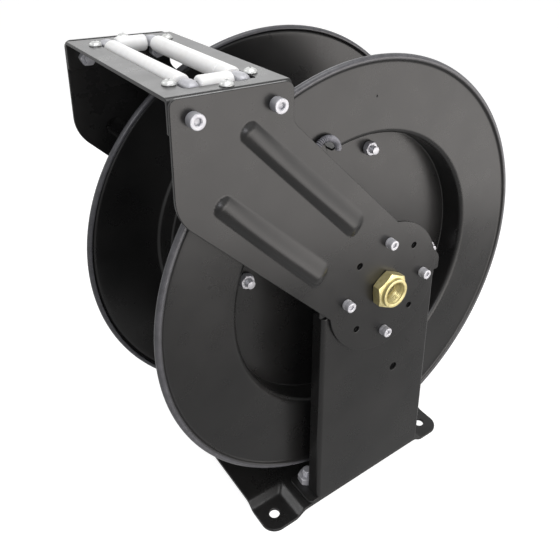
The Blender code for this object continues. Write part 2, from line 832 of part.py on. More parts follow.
def bracket_screw_spots(y):
    """Return the two screw points on top of an arm."""
    z = AXIS_HEIGHT + ARM_TOP - BRACKET_SCREW_DROP
    half = BRACKET_SCREW_SPACING / 2
    return [Vector((WINDOW_X - half, y, z)), Vector((WINDOW_X + half, y, z))]


def nutted_screw(name, screw, nut_flats, nut_height, grip):
    """Join a screw along Y with the nut behind its grip."""
    return boolean(screw, hex_body(name + "_nut", nut_flats, grip, grip + nut_height), "UNION")


def bracket_screws():
    """Screws and nuts that hold the roller bracket between the arms."""
    grip = 2 * SHEET + 3 * GAP
    reach = grip + BRACKET_NUT + BRACKET_SCREW[0] * 0.75
    screw = socket_screw("bracket_screw", BRACKET_SCREW, reach)
    screw = nutted_screw("bracket", screw, BRACKET_NUT_FLATS, BRACKET_NUT, grip)
    places = []
    for side in (FRONT, REAR):
        for spot in bracket_screw_spots(side * (FRAME_HALF + GAP)):
            places.append(Matrix.Translation(spot) @ side_turn(side))
    copies("bracket_screw", screw, places, zinc())


# Arms, pedestals and base

def arm_outline():
    """Return an arm's (x, z) outline round the hub, anticlockwise."""
    reach = ARM_HALF_BAND * math.sqrt(2)
    left = -ARM_LEFT
    right = left + ARM_WIDTH
    corners = rounded([
        (right, reach - right, ARM_INNER_FILLET),
        (right, ARM_TOP, ARM_CORNER_RIGHT),
        (left, ARM_TOP, ARM_CORNER_LEFT),
        (left, -reach - left, ARM_ELBOW_RADIUS),
        (0, -reach, 0),
        (reach, 0, 0),
    ])[:-2]
    open_by = math.degrees(math.acos(ARM_HALF_BAND / ARM_HEAD_RADIUS))
    head = arc((0, 0), ARM_HEAD_RADIUS, 225 - open_by, 405 + open_by, SIDES_HUB)
    return corners + head


def bead_solid(name, span, offset, y, half_width, height):
    """Return a long round-ended bump along the arm's slope."""
    start, end = span
    bm = bmesh.new()
    lay = Matrix.Rotation(math.radians(90), 4, "Y")
    bmesh.ops.create_uvsphere(bm, u_segments=SIDES_SCREW, v_segments=4, radius=half_width,
                              matrix=lay)
    stretch = end - start - 2 * half_width
    for vert in bm.verts:
        vert.co.x += start + half_width + (stretch if vert.co.x > 0 else 0)
        vert.co.y *= height / half_width
        vert.co.y += y
        vert.co.z += offset
    bmesh.ops.rotate(bm, verts=bm.verts, cent=(0, 0, 0),
                     matrix=Matrix.Rotation(math.radians(-135), 3, "Y"))
    bmesh.ops.translate(bm, verts=bm.verts, vec=(0, 0, AXIS_HEIGHT))
    return object_from(bm, name)


def arm(side):
    """One pressed arm: hub head, sloping band and the end for the rollers."""
    name = "front_arm" if side == FRONT else "rear_arm"
    plate = outline_plate(name, arm_outline(), SHEET, side * (FRAME_HALF - SHEET / 2))
    crest = side * (FRAME_HALF - HAIR)
    hollow = side * (FRAME_HALF - SHEET)
    for i, span in enumerate(BEAD_SPANS):
        offset = BEAD_OFFSET * (-1 if i == 0 else 1)
        bump = bead_solid(f"{name}_bump_{i}", span, offset, crest, BEAD_HALF_WIDTH, BEAD_HEIGHT)
        plate = boolean(plate, bump, "UNION")
    for i, span in enumerate(BEAD_SPANS):
        offset = BEAD_OFFSET * (-1 if i == 0 else 1)
        inset = (span[0] + SHEET, span[1] - SHEET)
        dent = bead_solid(f"{name}_dent_{i}", inset, offset, hollow, BEAD_HALF_WIDTH - SHEET,
                          BEAD_HEIGHT)
        plate = boolean(plate, dent)
    plate = drill(plate, name + "_hub", hub_spots(crest), HUB_HOLE_RADIUS, 8 * SHEET)
    centre = (0, crest, AXIS_HEIGHT)
    plate = drill(plate, name + "_centre", [centre], centre_hole(side), 8 * SHEET,
                 sides=SIDES_SHAFT)
    plate = drill(plate, name + "_top", bracket_screw_spots(crest), BRACKET_SCREW[0] + GAP, 8 * SHEET)
    return finish(plate, name, black_paint())


def centre_hole(side):
    """Return the radius of the hole round the inlet or the shaft."""
    return (SHANK_RADIUS if side == FRONT else SHAFT_RADIUS) + GAP


def channel_outline(half, depth, bend):
    """Return a bent channel's outline, its web at 0 and its legs at -depth."""
    inner = max(bend - SHEET, 0.2 * MM)
    return rounded([
        (half, -depth, 0),
        (half, 0, bend),
        (-half, 0, bend),
        (-half, -depth, 0),
        (SHEET - half, -depth, 0),
        (SHEET - half, -SHEET, inner),
        (half - SHEET, -SHEET, inner),
        (half - SHEET, -depth, 0),
    ], 3)


def head_outline():
    """Return the flat head of a pedestal, as (x, z) round the hub."""
    low = -PEDESTAL_SHOULDER
    root = low - PEDESTAL_RELIEF - 4 * SHEET
    neck = PEDESTAL_HALF - PEDESTAL_BEND - HAIR
    wide = PEDESTAL_HEAD_HALF
    top = PEDESTAL_HEAD_TOP
    return rounded([
        (neck, root, 0),
        (neck, low, 0),
        (wide, low - PEDESTAL_SAG, 0.8 * SHEET),
        (wide, top * 0.12, 4 * SHEET),
        (top * 0.66, top * 0.74, 8 * SHEET),
        (top * 0.3, top, 8 * SHEET),
        (-top * 0.3, top, 8 * SHEET),
        (-top * 0.66, top * 0.74, 8 * SHEET),
        (-wide, top * 0.12, 4 * SHEET),
        (-wide, low - PEDESTAL_SAG, 0.8 * SHEET),
        (-neck, low, 0),
        (-neck, root, 0),
    ], 4)


def pedestal(side):
    """One pedestal: bent channel, flat head and a foot that is bolted down."""
    name = "front_pedestal" if side == FRONT else "rear_pedestal"
    low = BASE_TOP + GAP
    high = AXIS_HEIGHT - PEDESTAL_SHOULDER - PEDESTAL_RELIEF
    web = [(x, side * (PEDESTAL_OUTER + y))
           for x, y in channel_outline(PEDESTAL_HALF, PEDESTAL_FLANGE, PEDESTAL_BEND)]
    body = flat_plate(name, web, high - low - HAIR, (high + low + HAIR) / 2)
    head = outline_plate(name + "_head", head_outline(), SHEET - 2 * HAIR,
                         side * (PEDESTAL_OUTER - SHEET / 2))
    body = boolean(body, head, "UNION")
    near = side * (PEDESTAL_OUTER - HAIR)
    far = side * (PEDESTAL_OUTER - PEDESTAL_FOOT_DEPTH)
    right = PEDESTAL_HALF - HAIR
    corner = PEDESTAL_FOOT_CORNER
    foot = rounded([(-PEDESTAL_FOOT_LEFT, near, corner), (right, near, corner),
                    (right, far, corner), (-PEDESTAL_FOOT_LEFT, far, corner)], 4)
    body = boolean(body, flat_plate(name + "_foot", foot, SHEET, low + SHEET / 2), "UNION")
    body = drill(body, name + "_hub", hub_spots(near), HUB_HOLE_RADIUS, 8 * SHEET)
    body = drill(body, name + "_centre", [(0, near, AXIS_HEIGHT)], centre_hole(side), 8 * SHEET,
                 sides=SIDES_SHAFT)
    body = drill(body, name + "_pawl", [(PAWL_HOLE_X, near, AXIS_HEIGHT - PAWL_HOLE_DROP)],
          PAWL_HOLE_RADIUS, 8 * SHEET)
    body = drill(body, name + "_foot", [spot + Vector((0, 0, low)) for spot in anchor_spots(side)],
          ANCHOR_RADIUS + GAP, 4 * SHEET, (0, 0, 1))
    return finish(body, name, black_paint())


def anchor_spots(side):
    """Return where the bolts of one pedestal stand, at z = 0."""
    y = side * (PEDESTAL_OUTER - ANCHOR_INSET)
    return [Vector((-ANCHOR_LEFT, y, 0)), Vector((ANCHOR_RIGHT, y, 0))]


def foot_centres():
    """Return the outer corner and inward signs of each lowered foot."""
    return [(x, y * BASE_HALF_DEPTH, 1 if x < 0 else -1, -y)
            for x in (-BASE_LEFT, BASE_RIGHT) for y in (-1, 1)]


def foot_frustum(bm, corner, grow, low, high, slope_low, slope_high):
    """Add the sloped block over a foot, grown inward by the given amount."""
    x, y, in_x, in_y = corner
    margin = BASE_CORNER
    width = FOOT_LENGTH + margin + grow
    depth = FOOT_DEPTH + margin + grow
    bottom = (width + slope_low, depth + slope_low)
    top = (width + slope_high, depth + slope_high)
    made = bmesh.ops.create_cube(bm, size=1)
    for vert in made["verts"]:
        size = top if vert.co.z > 0 else bottom
        height = high if vert.co.z > 0 else low
        along = 0 if vert.co.x * in_x < 0 else size[0]
        across = 0 if vert.co.y * in_y < 0 else size[1]
        vert.co = (x - in_x * margin + in_x * along, y - in_y * margin + in_y * across, height)


def base_plate():
    """The base: one raised sheet with its four corners pressed down as feet."""
    half = BASE_HALF_DEPTH
    corner = BASE_CORNER
    outline = rounded([(-BASE_LEFT, -half, corner), (BASE_RIGHT, -half, corner),
                       (BASE_RIGHT, half, corner), (-BASE_LEFT, half, corner)])
    plate = flat_plate("base_plate", outline, BASE_TOP, BASE_TOP / 2)
    over = 5 * MM
    slope = FOOT_SLOPE / BASE_RAISE
    bm = bmesh.new()
    for spot in foot_centres():
        foot_frustum(bm, spot, 0, SHEET, BASE_TOP + over, 0, slope * (BASE_RAISE + over))
    plate = boolean(plate, object_from(bm, "foot_tops"))
    bm = bmesh.new()
    wide = 2 * corner
    add_box(bm, (-BASE_LEFT - wide, -half - wide, -over), (BASE_RIGHT + wide, half + wide, BASE_RAISE))
    cavity = object_from(bm, "underside")
    grow = SHEET * math.tan(math.atan(slope) / 2)
    bm = bmesh.new()
    for spot in foot_centres():
        x, y, in_x, in_y = spot
        spot = (x - in_x * wide, y - in_y * wide, in_x, in_y)
        foot_frustum(bm, spot, grow + wide, -2 * over, BASE_RAISE + over,
                     slope * (-2 * over), slope * (BASE_RAISE + over))
    cavity = boolean(cavity, object_from(bm, "foot_blocks"))
    plate = boolean(plate, baked(cavity))
    holes = []
    for x, y, in_x, in_y in foot_centres():
        holes.append((x + in_x * FOOT_HOLE_INSET_X, y + in_y * FOOT_HOLE_INSET_Y, 0))
    plate = drill(plate, "foot", holes, FOOT_HOLE_RADIUS, 4 * SHEET, (0, 0, 1), SIDES_SHAFT)
    anchors = anchor_spots(FRONT) + anchor_spots(REAR)
    plate = drill(plate, "anchor", [spot + Vector((0, 0, BASE_TOP)) for spot in anchors],
          ANCHOR_RADIUS + GAP, 4 * SHEET, (0, 0, 1))
    return finish(plate, "base_plate", black_paint())


def upright(spot):
    """Return the matrix that stands a Y-axis shape on end, +Y going up."""
    return Matrix.Translation(spot) @ Matrix.Rotation(math.radians(90), 4, "X")


def anchor_bolts():
    """Bolts and nuts that hold the pedestals' feet on the base."""
    under = BASE_RAISE - GAP - ANCHOR_HEAD
    seat = BASE_TOP + GAP + SHEET + GAP
    end = seat + ANCHOR_NUT + ANCHOR_STICK_OUT
    bolt = turned("anchor_bolt", rod_profile(ANCHOR_RADIUS, under, end, ANCHOR_RADIUS / 5), SIDES_SCREW,
                  closed=False, z=0)
    head = hex_body("anchor_head", ANCHOR_FLATS, under, under + ANCHOR_HEAD)
    bolt = boolean(bolt, head, "UNION")
    bolt = nutted_screw("anchor", bolt, ANCHOR_FLATS, ANCHOR_NUT, seat)
    places = [upright(spot) for spot in anchor_spots(FRONT) + anchor_spots(REAR)]
    copies("anchor_bolt", bolt, places, zinc())


# Roller bracket and rollers

def guide_spots(z):
    """Return the six bolt points of the roller bracket."""
    spots = [Vector((WINDOW_X + sx * CORNER_BOLT_X, sy * CORNER_BOLT_Y, z))
             for sx in (-1, 1) for sy in (-1, 1)]
    return spots + [Vector((WINDOW_X, sy * END_BOLT_Y, z)) for sy in (-1, 1)]


def roller_bracket():
    """The channel between the arms, with the window that the hose runs through."""
    top = AXIS_HEIGHT + ARM_TOP
    bracket = drawn_curve("roller_bracket",
                          channel_outline(PEDESTAL_OUTER, BRACKET_FLANGE, BRACKET_BEND), ARM_WIDTH)
    bracket.rotation_euler = (math.radians(90), 0, math.radians(90))
    bracket.location = (WINDOW_X, 0, top)
    bracket = baked(bracket)
    bm = bmesh.new()
    add_box(bm, (WINDOW_X - WINDOW_WIDTH / 2, -WINDOW_LENGTH / 2, top - 3 * SHEET),
            (WINDOW_X + WINDOW_WIDTH / 2, WINDOW_LENGTH / 2, top + 3 * SHEET))
    bracket = boolean(bracket, object_from(bm, "window"))
    bracket = drill(bracket, "guide", guide_spots(top), GUIDE_BOLT[0] + GAP, 4 * SHEET, (0, 0, 1))
    for side in (FRONT, REAR):
        bracket = drill(bracket, f"bracket_{side}", bracket_screw_spots(side * PEDESTAL_OUTER),
              BRACKET_SCREW[0] + GAP, 4 * SHEET)
    return finish(bracket, "roller_bracket", black_paint())


def saddle_low():
    """Return the inner corner of a saddle, as (x, y) from the window's centre."""
    return ROLLER_HALF_SHORT + 2 * GAP, ROLLER_HALF_LONG + 2 * GAP


def roller_carrier():
    """The plate under the bracket whose four saddles hold the roller pins."""
    top = AXIS_HEIGHT + ARM_TOP - SHEET - GAP
    low = top - CARRIER_SHEET
    bm = bmesh.new()
    add_box(bm, (WINDOW_X - CARRIER_HALF_X, -CARRIER_HALF_Y, low),
            (WINDOW_X + CARRIER_HALF_X, CARRIER_HALF_Y, top))
    plate = object_from(bm, "roller_carrier")
    half_x = WINDOW_WIDTH / 2 - 2 * GAP
    half_y = WINDOW_LENGTH / 2 - 2 * GAP
    bm = bmesh.new()
    add_box(bm, (WINDOW_X - half_x, -half_y, low - SHEET), (WINDOW_X + half_x, half_y, top + SHEET))
    plate = boolean(plate, object_from(bm, "carrier_window"))
    near_x, near_y = saddle_low()
    bm = bmesh.new()
    for sx in (-1, 1):
        for sy in (-1, 1):
            ends_x = sorted((WINDOW_X + sx * near_x, WINDOW_X + sx * (half_x - SADDLE_INSET)))
            ends_y = sorted((sy * near_y, sy * (half_y + GAP)))
            add_box(bm, (ends_x[0], ends_y[0], low + HAIR),
                    (ends_x[1], ends_y[1], top + GAP + SHEET + SADDLE_HEIGHT))
    crest = [edge for edge in bm.edges if min(v.co.z for v in edge.verts) > top + SHEET]
    bmesh.ops.bevel(bm, geom=crest, offset=SADDLE_ROUND, segments=2, affect="EDGES", profile=0.5)
    plate = boolean(plate, object_from(bm, "saddles"), "UNION")
    long_pin = 2 * (near_y + PIN_GRIP + GAP)
    short_pin = 2 * (near_x + PIN_GRIP + GAP)
    spots = [(WINDOW_X + sx * ROLLER_SPACING / 2, 0, PIN_Z) for sx in (-1, 1)]
    plate = drill(plate, "long_pins", spots, PIN_RADIUS + GAP, long_pin)
    spots = [(WINDOW_X, sy * ROLLER_END_Y, PIN_Z) for sy in (-1, 1)]
    plate = drill(plate, "short_pins", spots, PIN_RADIUS + GAP, short_pin, (1, 0, 0))
    plate = drill(plate, "carrier_guide", guide_spots(top), GUIDE_BOLT[0] + GAP, 4 * SHEET, (0, 0, 1))
    return finish(plate, "roller_carrier", black_paint())


def roller_pins():
    """The four pins that the rollers turn on."""
    near_x, near_y = saddle_low()
    for name, sign in (("left", -1), ("right", 1)):
        half = near_y + PIN_GRIP
        pin = turned("pin", rod_profile(PIN_RADIUS, -half, half, PIN_RADIUS / 5), SIDES_HOLE,
                     closed=False, x=WINDOW_X + sign * ROLLER_SPACING / 2, z=PIN_Z)
        finish(pin, "roller_pin_" + name, steel())
    for name, sign in (("front", -1), ("rear", 1)):
        half = near_x + PIN_GRIP
        pin = turned("pin", rod_profile(PIN_RADIUS, -half, half, PIN_RADIUS / 5), SIDES_HOLE,
                     sign * ROLLER_END_Y, False, WINDOW_X, PIN_Z, ALONG_X)
        finish(pin, "roller_pin_" + name, steel())


def roller(name, half, x, y, seam=0.0, along_x=False):
    """One nylon tube with rounded ends, and with a seam near one end."""
    outer = ROLLER_RADIUS
    bore = PIN_RADIUS + RUN
    soft = ROLLER_ROUND
    profile = arc((outer - soft, half - soft), soft, 90, 0, 2)
    if seam:
        level = seam - half
        profile += [(outer, level + SEAM), (outer - SEAM, level), (outer, level - SEAM)]
    profile += arc((outer - soft, soft - half), soft, 0, -90, 2)
    profile += [(bore, -half), (bore, half)]
    turn = ALONG_X if along_x else Matrix.Identity(4)
    return finish(turned(name, profile, SIDES_SHAFT, y, x=x, z=PIN_Z, turn=turn), name, nylon())


def rollers():
    """Two long rollers beside the hose and two short ones at the ends."""
    half = ROLLER_HALF_LONG
    short = ROLLER_HALF_SHORT
    roller("roller_left", half, WINDOW_X - ROLLER_SPACING / 2, 0)
    roller("roller_right", half, WINDOW_X + ROLLER_SPACING / 2, 0, ROLLER_SEAM)
    roller("roller_front", short, WINDOW_X, -ROLLER_END_Y, along_x=True)
    roller("roller_rear", short, WINDOW_X, ROLLER_END_Y, along_x=True)


def guide_bolts():
    """Round head bolts and nuts through the bracket and the carrier."""
    shank, head, height = GUIDE_BOLT
    grip = SHEET + 3 * GAP + CARRIER_SHEET
    reach = grip + GUIDE_NUT + shank * 0.8
    profile = [(0, reach), (shank, reach), (shank, 0), (head, 0), (head, -height * 0.25),
               (head * 0.65, -height), (0, -height)]
    bolt = turned("guide_bolt", profile, SIDES_SCREW, closed=False, z=0)
    bm = bmesh.new()
    add_cylinder(bm, shank * 0.62, height, (0, -height, 0), sides=6)
    bolt = boolean(bolt, object_from(bm, "guide_key"))
    bolt = nutted_screw("guide", bolt, GUIDE_NUT_FLATS, GUIDE_NUT, grip)
    over = Matrix.Rotation(math.radians(-90), 4, "X")
    places = [Matrix.Translation(spot) @ over for spot in guide_spots(AXIS_HEIGHT + ARM_TOP + GAP)]
    copies("guide_bolt", bolt, places, zinc())


# Hub, inlet and shaft

def hub_flange(side):
    """The round flange behind a pedestal that the hub screws bite into."""
    name = "front_hub_flange" if side == FRONT else "rear_hub_flange"
    ends = sorted((side * FLANGE_INNER, side * (FLANGE_INNER + FLANGE_SHEET)))
    ring = turned(name, ring_profile(FLANGE_RADIUS, centre_hole(side), *ends))
    ring = drill(ring, name, hub_spots(side * FLANGE_INNER, 2), HUB_HOLE_RADIUS, 4 * FLANGE_SHEET)
    return finish(ring, name, black_paint())


def inlet_spindle():
    """The brass inlet: hexagon, boss with the hose thread, and a long shank."""
    seat = -FRAME_HALF - GAP
    face = seat - INLET_HEX
    body = hex_body("inlet_spindle", INLET_FLATS, face, seat, AXIS_HEIGHT)
    body = crowned(body, INLET_FLATS, face, seat, AXIS_HEIGHT)
    nose = face - INLET_BOSS + GAP
    radius = INLET_BOSS_RADIUS
    edge = INLET_EDGE
    middle = face + INLET_HEX / 2
    shank = [(0, -SHANK_END), (SHANK_RADIUS, -SHANK_END), (SHANK_RADIUS, middle),
             (radius, middle), (radius, nose + edge), (radius - edge, nose), (0, nose)]
    body = boolean(body, turned("inlet_shank", shank, SIDES_SHAFT, closed=False), "UNION")
    mouth = nose + INLET_BORE_DEPTH
    end = pipe_y() + WATERWAY
    lead = INLET_BORE + edge
    bore = [(0, end), (WATERWAY, end), (WATERWAY, mouth), (INLET_BORE, mouth),
            (INLET_BORE, nose + edge), (lead, nose), (lead, nose - edge), (0, nose - edge)]
    body = boolean(body, turned("inlet_bore", bore, SIDES_SHAFT, closed=False))
    cross = (0, pipe_y(), AXIS_HEIGHT)
    body = drill(body, "inlet_cross", [cross], PIPE_BORE, 4 * SHANK_RADIUS, radial(OUTLET_ANGLE))
    return finish(body, "inlet_spindle", brass())


def main_shaft():
    """The fixed shaft behind the drum, with the spring's collar and a square end."""
    step = FRAME_HALF + SHAFT_STEP
    tail = FRAME_HALF + SHAFT_END
    low, high = COLLAR_SPAN
    edge = 1 * MM
    radius = SHAFT_RADIUS
    profile = [(0, step), (radius - edge, step), (radius, step - edge), (radius, high),
               (COLLAR_RADIUS, high), (COLLAR_RADIUS, low), (radius, low),
               (radius, edge - SHAFT_FRONT), (radius - edge, -SHAFT_FRONT), (0, -SHAFT_FRONT)]
    shaft = turned("main_shaft", profile, SIDES_SHAFT, closed=False)
    half = SHAFT_SQUARE / 2
    bm = bmesh.new()
    add_box(bm, (-half, step - edge, AXIS_HEIGHT - half), (half, tail, AXIS_HEIGHT + half))
    shaft = boolean(shaft, object_from(bm, "shaft_square"), "UNION")
    return finish(shaft, "main_shaft", steel())


# Ratchet and pawl

def ratchet_level():
    """Return the y of the ratchet wheel's near face."""
    return DRUM_SHIFT + FLOOR_OUTER + RATCHET_STAND_OFF


def pawl_pivot():
    """Return the pawl's pivot as (distance from the axis, angle)."""
    distance = math.hypot(PAWL_HOLE_X, PAWL_HOLE_DROP)
    return distance, math.degrees(math.atan2(-PAWL_HOLE_DROP, PAWL_HOLE_X))


def pawl_tip(reach):
    """Return the tip's (angle round the axis, lean) at a distance from it."""
    distance, angle = pawl_pivot()
    lean = math.acos((distance ** 2 + PAWL_LENGTH ** 2 - reach ** 2) / (2 * distance * PAWL_LENGTH))
    swing = math.degrees(math.asin(PAWL_LENGTH * math.sin(lean) / reach))
    return angle + swing, math.degrees(lean)


def ratchet_wheel(axis):
    """The notched wheel, on a sleeve that is welded to the rear disc."""
    near = ratchet_level()
    far = near + RATCHET_SHEET
    foot = DRUM_SHIFT + FLOOR_OUTER + GAP
    profile = [(RATCHET_RADIUS, far), (RATCHET_RADIUS, near), (SLEEVE_RADIUS, near),
               (SLEEVE_RADIUS, foot), (SLEEVE_RADIUS - SHEET, foot), (SLEEVE_RADIUS - SHEET, far)]
    wheel = turned("ratchet_wheel", profile)
    first = pawl_tip(PAWL_ENGAGED)[0]
    notches = [on_circle(RATCHET_RADIUS, first + 360 / RATCHET_NOTCHES * i, near)
               for i in range(RATCHET_NOTCHES)]
    wheel = drill(wheel, "ratchet_notch", notches, RATCHET_NOTCH, 4 * RATCHET_SHEET)
    return finish(wheel, "ratchet_wheel", zinc(), axis)


def pawl(axis):
    """The pawl, held just clear of the ratchet's notches at rest."""
    distance, angle = pawl_pivot()
    lean = pawl_tip(PAWL_REST)[1]
    aim = angle + 180 - lean
    ends = arc((0, 0), PAWL_EYE, aim + 75, aim + 285, 10)
    turn = math.radians(aim)
    tip = (PAWL_LENGTH * math.cos(turn), PAWL_LENGTH * math.sin(turn))
    ends += arc(tip, PAWL_TIP, aim - 90, aim + 90, 4)
    near = ratchet_level()
    plate = outline_plate("pawl", ends, RATCHET_SHEET, near + RATCHET_SHEET / 2,
                          AXIS_HEIGHT - PAWL_HOLE_DROP)
    plate.location.x = PAWL_HOLE_X
    centre = (PAWL_HOLE_X, near, AXIS_HEIGHT - PAWL_HOLE_DROP)
    plate = drill(plate, "pawl_eye", [centre], PAWL_PIN_RADIUS + RUN, 4 * RATCHET_SHEET,
                  sides=SIDES_SCREW)
    return finish(plate, "pawl", zinc(), axis)


def pawl_at(y):
    """Return a point on the pawl's axis."""
    return Vector((PAWL_HOLE_X, y, AXIS_HEIGHT - PAWL_HOLE_DROP))


def pawl_pin():
    """The pin through the rear pedestal, riveted over in front of the pawl."""
    seat = PEDESTAL_OUTER + GAP
    top = seat + PAWL_PIN_RADIUS
    shoulder = PEDESTAL_INNER - GAP
    near = ratchet_level() - GAP
    end = near - PAWL_CLIP
    big = PAWL_PIN_HEAD
    small = PAWL_PIN_RADIUS
    profile = [(0, top), (big, top), (big, seat), (small, seat), (small, shoulder),
               (big, shoulder), (big, shoulder - PAWL_SPACER), (small, shoulder - PAWL_SPACER),
               (small, near), (big, near), (big, end), (0, end)]
    x, _, z = pawl_at(0)
    return finish(turned("pawl_pin", profile, SIDES_SCREW, closed=False, x=x, z=z), "pawl_pin", zinc())


def pawl_spring():
    """The small coil round the pin that presses the pawl."""
    low = ratchet_level() + RATCHET_SHEET + GAP + SPRING_WIRE
    high = PEDESTAL_INNER - 2 * GAP - PAWL_SPACER - SPRING_WIRE
    radius = (PAWL_PIN_RADIUS + 2 * GAP + SPRING_WIRE) / math.cos(math.pi / SPRING_SIDES)
    steps = SPRING_SIDES * SPRING_TURNS
    points = []
    for i in range(steps + 1):
        turn = math.tau * i / SPRING_SIDES
        points.append(pawl_at(low + (high - low) * i / steps)
                      + radius * Vector((math.cos(turn), 0, math.sin(turn))))
    coil = tube_curve("pawl_spring", points, SPRING_WIRE, 1)
    return finish(coil, "pawl_spring", spring_steel())


def pivot(name, spot):
    """Return an empty on a joint's axis."""
    made = bpy.data.objects.new(name, None)
    made.location = spot
    made.empty_display_size = 20 * MM
    PARTS.objects.link(made)
    bpy.context.view_layer.update()
    return made


def build():
    """Build the whole reel."""
    base_plate()
    for side in (FRONT, REAR):
        pedestal(side)
        arm(side)
        hub_flange(side)
        hub_screws(side)
    anchor_bolts()
    roller_bracket()
    roller_carrier()
    roller_pins()
    rollers()
    guide_bolts()
    bracket_screws()
    inlet_spindle()
    swivel_seal()
    main_shaft()
    drum_axis = pivot("drum_axis", (0, DRUM_SHIFT, AXIS_HEIGHT))
    for side in (FRONT, REAR):
        drum_disc(side, drum_axis)
    for piece in (drum_core, tie_studs, rear_bearing, spring_case, power_spring,
                  swivel_housing, outlet_pipe, hose_fitting, outlet_trim, ratchet_wheel):
        piece(drum_axis)
    pawl(pivot("pawl_axis", pawl_at(ratchet_level())))
    pawl_pin()
    pawl_spring()


build()
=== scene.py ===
"""The looks of the pressure washer hose reel: fine pieces, finishes, studio and camera."""
import json
import logging
import math
from dataclasses import dataclass, field
from enum import Enum
from itertools import product
from typing import Callable, Sequence

import bmesh
import bpy
import numpy as np
from mathutils import Matrix, Vector
from mathutils.geometry import delaunay_2d_cdt


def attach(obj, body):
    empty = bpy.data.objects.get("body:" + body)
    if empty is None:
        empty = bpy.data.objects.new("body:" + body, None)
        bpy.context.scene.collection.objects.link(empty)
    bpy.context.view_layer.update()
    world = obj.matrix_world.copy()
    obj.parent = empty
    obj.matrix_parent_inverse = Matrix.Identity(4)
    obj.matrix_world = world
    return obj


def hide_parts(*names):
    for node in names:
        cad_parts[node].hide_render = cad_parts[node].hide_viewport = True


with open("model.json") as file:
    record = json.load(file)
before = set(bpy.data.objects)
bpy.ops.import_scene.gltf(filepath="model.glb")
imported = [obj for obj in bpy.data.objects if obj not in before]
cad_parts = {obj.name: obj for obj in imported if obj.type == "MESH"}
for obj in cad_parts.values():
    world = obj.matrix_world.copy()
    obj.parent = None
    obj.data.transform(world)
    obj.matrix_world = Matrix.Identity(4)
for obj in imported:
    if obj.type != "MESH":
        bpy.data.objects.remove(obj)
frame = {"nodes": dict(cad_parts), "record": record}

LOG = logging.getLogger("hose_reel")
MM = 0.001
Array = np.ndarray
Socket = bpy.types.NodeSocket
Pair = tuple[float, float]
Triple = tuple[float, float, float]
Lift = Callable[[Array, Array], Array]
Bend = Callable[[Array], Array]

# Sizes that several pieces share, in millimetres

AXIS_HEIGHT = 250.0
FRAME_HALF = 112.0
SHEET = 3.0
GAP = 0.3
PEDESTAL_OUTER = FRAME_HALF - SHEET - GAP
BEND_RADIUS = 4.5
ARM_WIDTH = 101.4
HUB_CIRCLE = 50.0
HUB_HOLE = 3.4
DRUM_CENTRE = 2.75
RING_FACE = 81.35
RECESS = 147.4
RECESS_DEPTH = 28.2
FLOOR_FACE = RING_FACE - RECESS_DEPTH
NOTCH_CIRCLE, NOTCH_ANGLE = 155.0, 111.0
PAWL_PIVOT = (23.5, 111.0)


class Side(Enum):
    """The two sides of the reel, as the sign of Y."""

    FRONT = -1
    REAR = 1


# Shapes, all sizes in millimetres

@dataclass
class Shape:
    """A mesh in the making: points in millimetres, with quads and triangles."""

    points: Array
    quads: Array = field(default_factory=lambda: np.zeros((0, 4), int))
    tris: Array = field(default_factory=lambda: np.zeros((0, 3), int))

    def plus(self, *others: "Shape") -> "Shape":
        """Join this shape and others into one.

        Args:
            others: the shapes to add.

        Returns:
            The joined shape.
        """
        shapes = (self, *others)
        starts = np.cumsum([0] + [len(shape.points) for shape in shapes])
        return Shape(np.vstack([shape.points for shape in shapes]),
                     np.vstack([shape.quads + start for shape, start in zip(shapes, starts)]),
                     np.vstack([shape.tris + start for shape, start in zip(shapes, starts)]))

    def moved(self, matrix: Matrix) -> "Shape":
        """Return the shape turned and shifted by a matrix whose shift is in millimetres."""
        points = self.points @ np.array(matrix.to_3x3()).T + np.array(matrix.translation)
        return Shape(points, self.quads, self.tris)


def shift(x: float = 0, y: float = 0, z: float = 0) -> Matrix:
    """Return the matrix of a plain shift in millimetres."""
    return Matrix.Translation((x, y, z))


def turn(degrees: float, axis: str) -> Matrix:
    """Return the matrix of a turn about X, Y or Z."""
    return Matrix.Rotation(math.radians(degrees), 4, axis)


def fillet(corners: Sequence[Triple], closed: bool = True, steps: int = 6) -> Array:
    """Round the corners of a line or outline.

    Each corner with a radius gives way to the arc that touches both of its edges.

    Args:
        corners: (x, y, radius) of each corner.
        closed: whether the last corner joins the first.
        steps: how many pieces each arc has.

    Returns:
        An (n, 2) array of points.
    """
    spots = np.array([corner[:2] for corner in corners], float)
    out = []
    for i, (_, _, radius) in enumerate(corners):
        at_end = not closed and i in (0, len(corners) - 1)
        if radius <= 0 or at_end:
            out.append(spots[i:i + 1])
            continue
        back = spots[i - 1] - spots[i]
        ahead = spots[(i + 1) % len(spots)] - spots[i]
        back = back / np.linalg.norm(back)
        ahead = ahead / np.linalg.norm(ahead)
        half = math.acos(np.clip(back @ ahead, -1, 1)) / 2
        between = back + ahead
        centre = spots[i] + between / np.linalg.norm(between) * radius / math.sin(half)
        first = spots[i] + back * radius / math.tan(half) - centre
        last = spots[i] + ahead * radius / math.tan(half) - centre
        swing = math.atan2(first[0] * last[1] - first[1] * last[0], first @ last)
        angle = np.linspace(0, swing, steps + 1)
        arc_x = first[0] * np.cos(angle) - first[1] * np.sin(angle)
        arc_y = first[0] * np.sin(angle) + first[1] * np.cos(angle)
        out.append(centre + np.stack([arc_x, arc_y], 1))
    return np.vstack(out)


def arc(x: float, y: float, radius: float, start: float, end: float, steps: int) -> Array:
    """Return points of an arc about (x, y), from one angle in degrees to another."""
    angle = np.radians(np.linspace(start, end, steps + 1))
    return np.stack([x + radius * np.cos(angle), y + radius * np.sin(angle)], 1)


def ring(x: float, y: float, radius: float, steps: int = 32) -> Array:
    """Return a closed circle as points, without its repeated end."""
    return arc(x, y, radius, 0, 360, steps)[:-1]


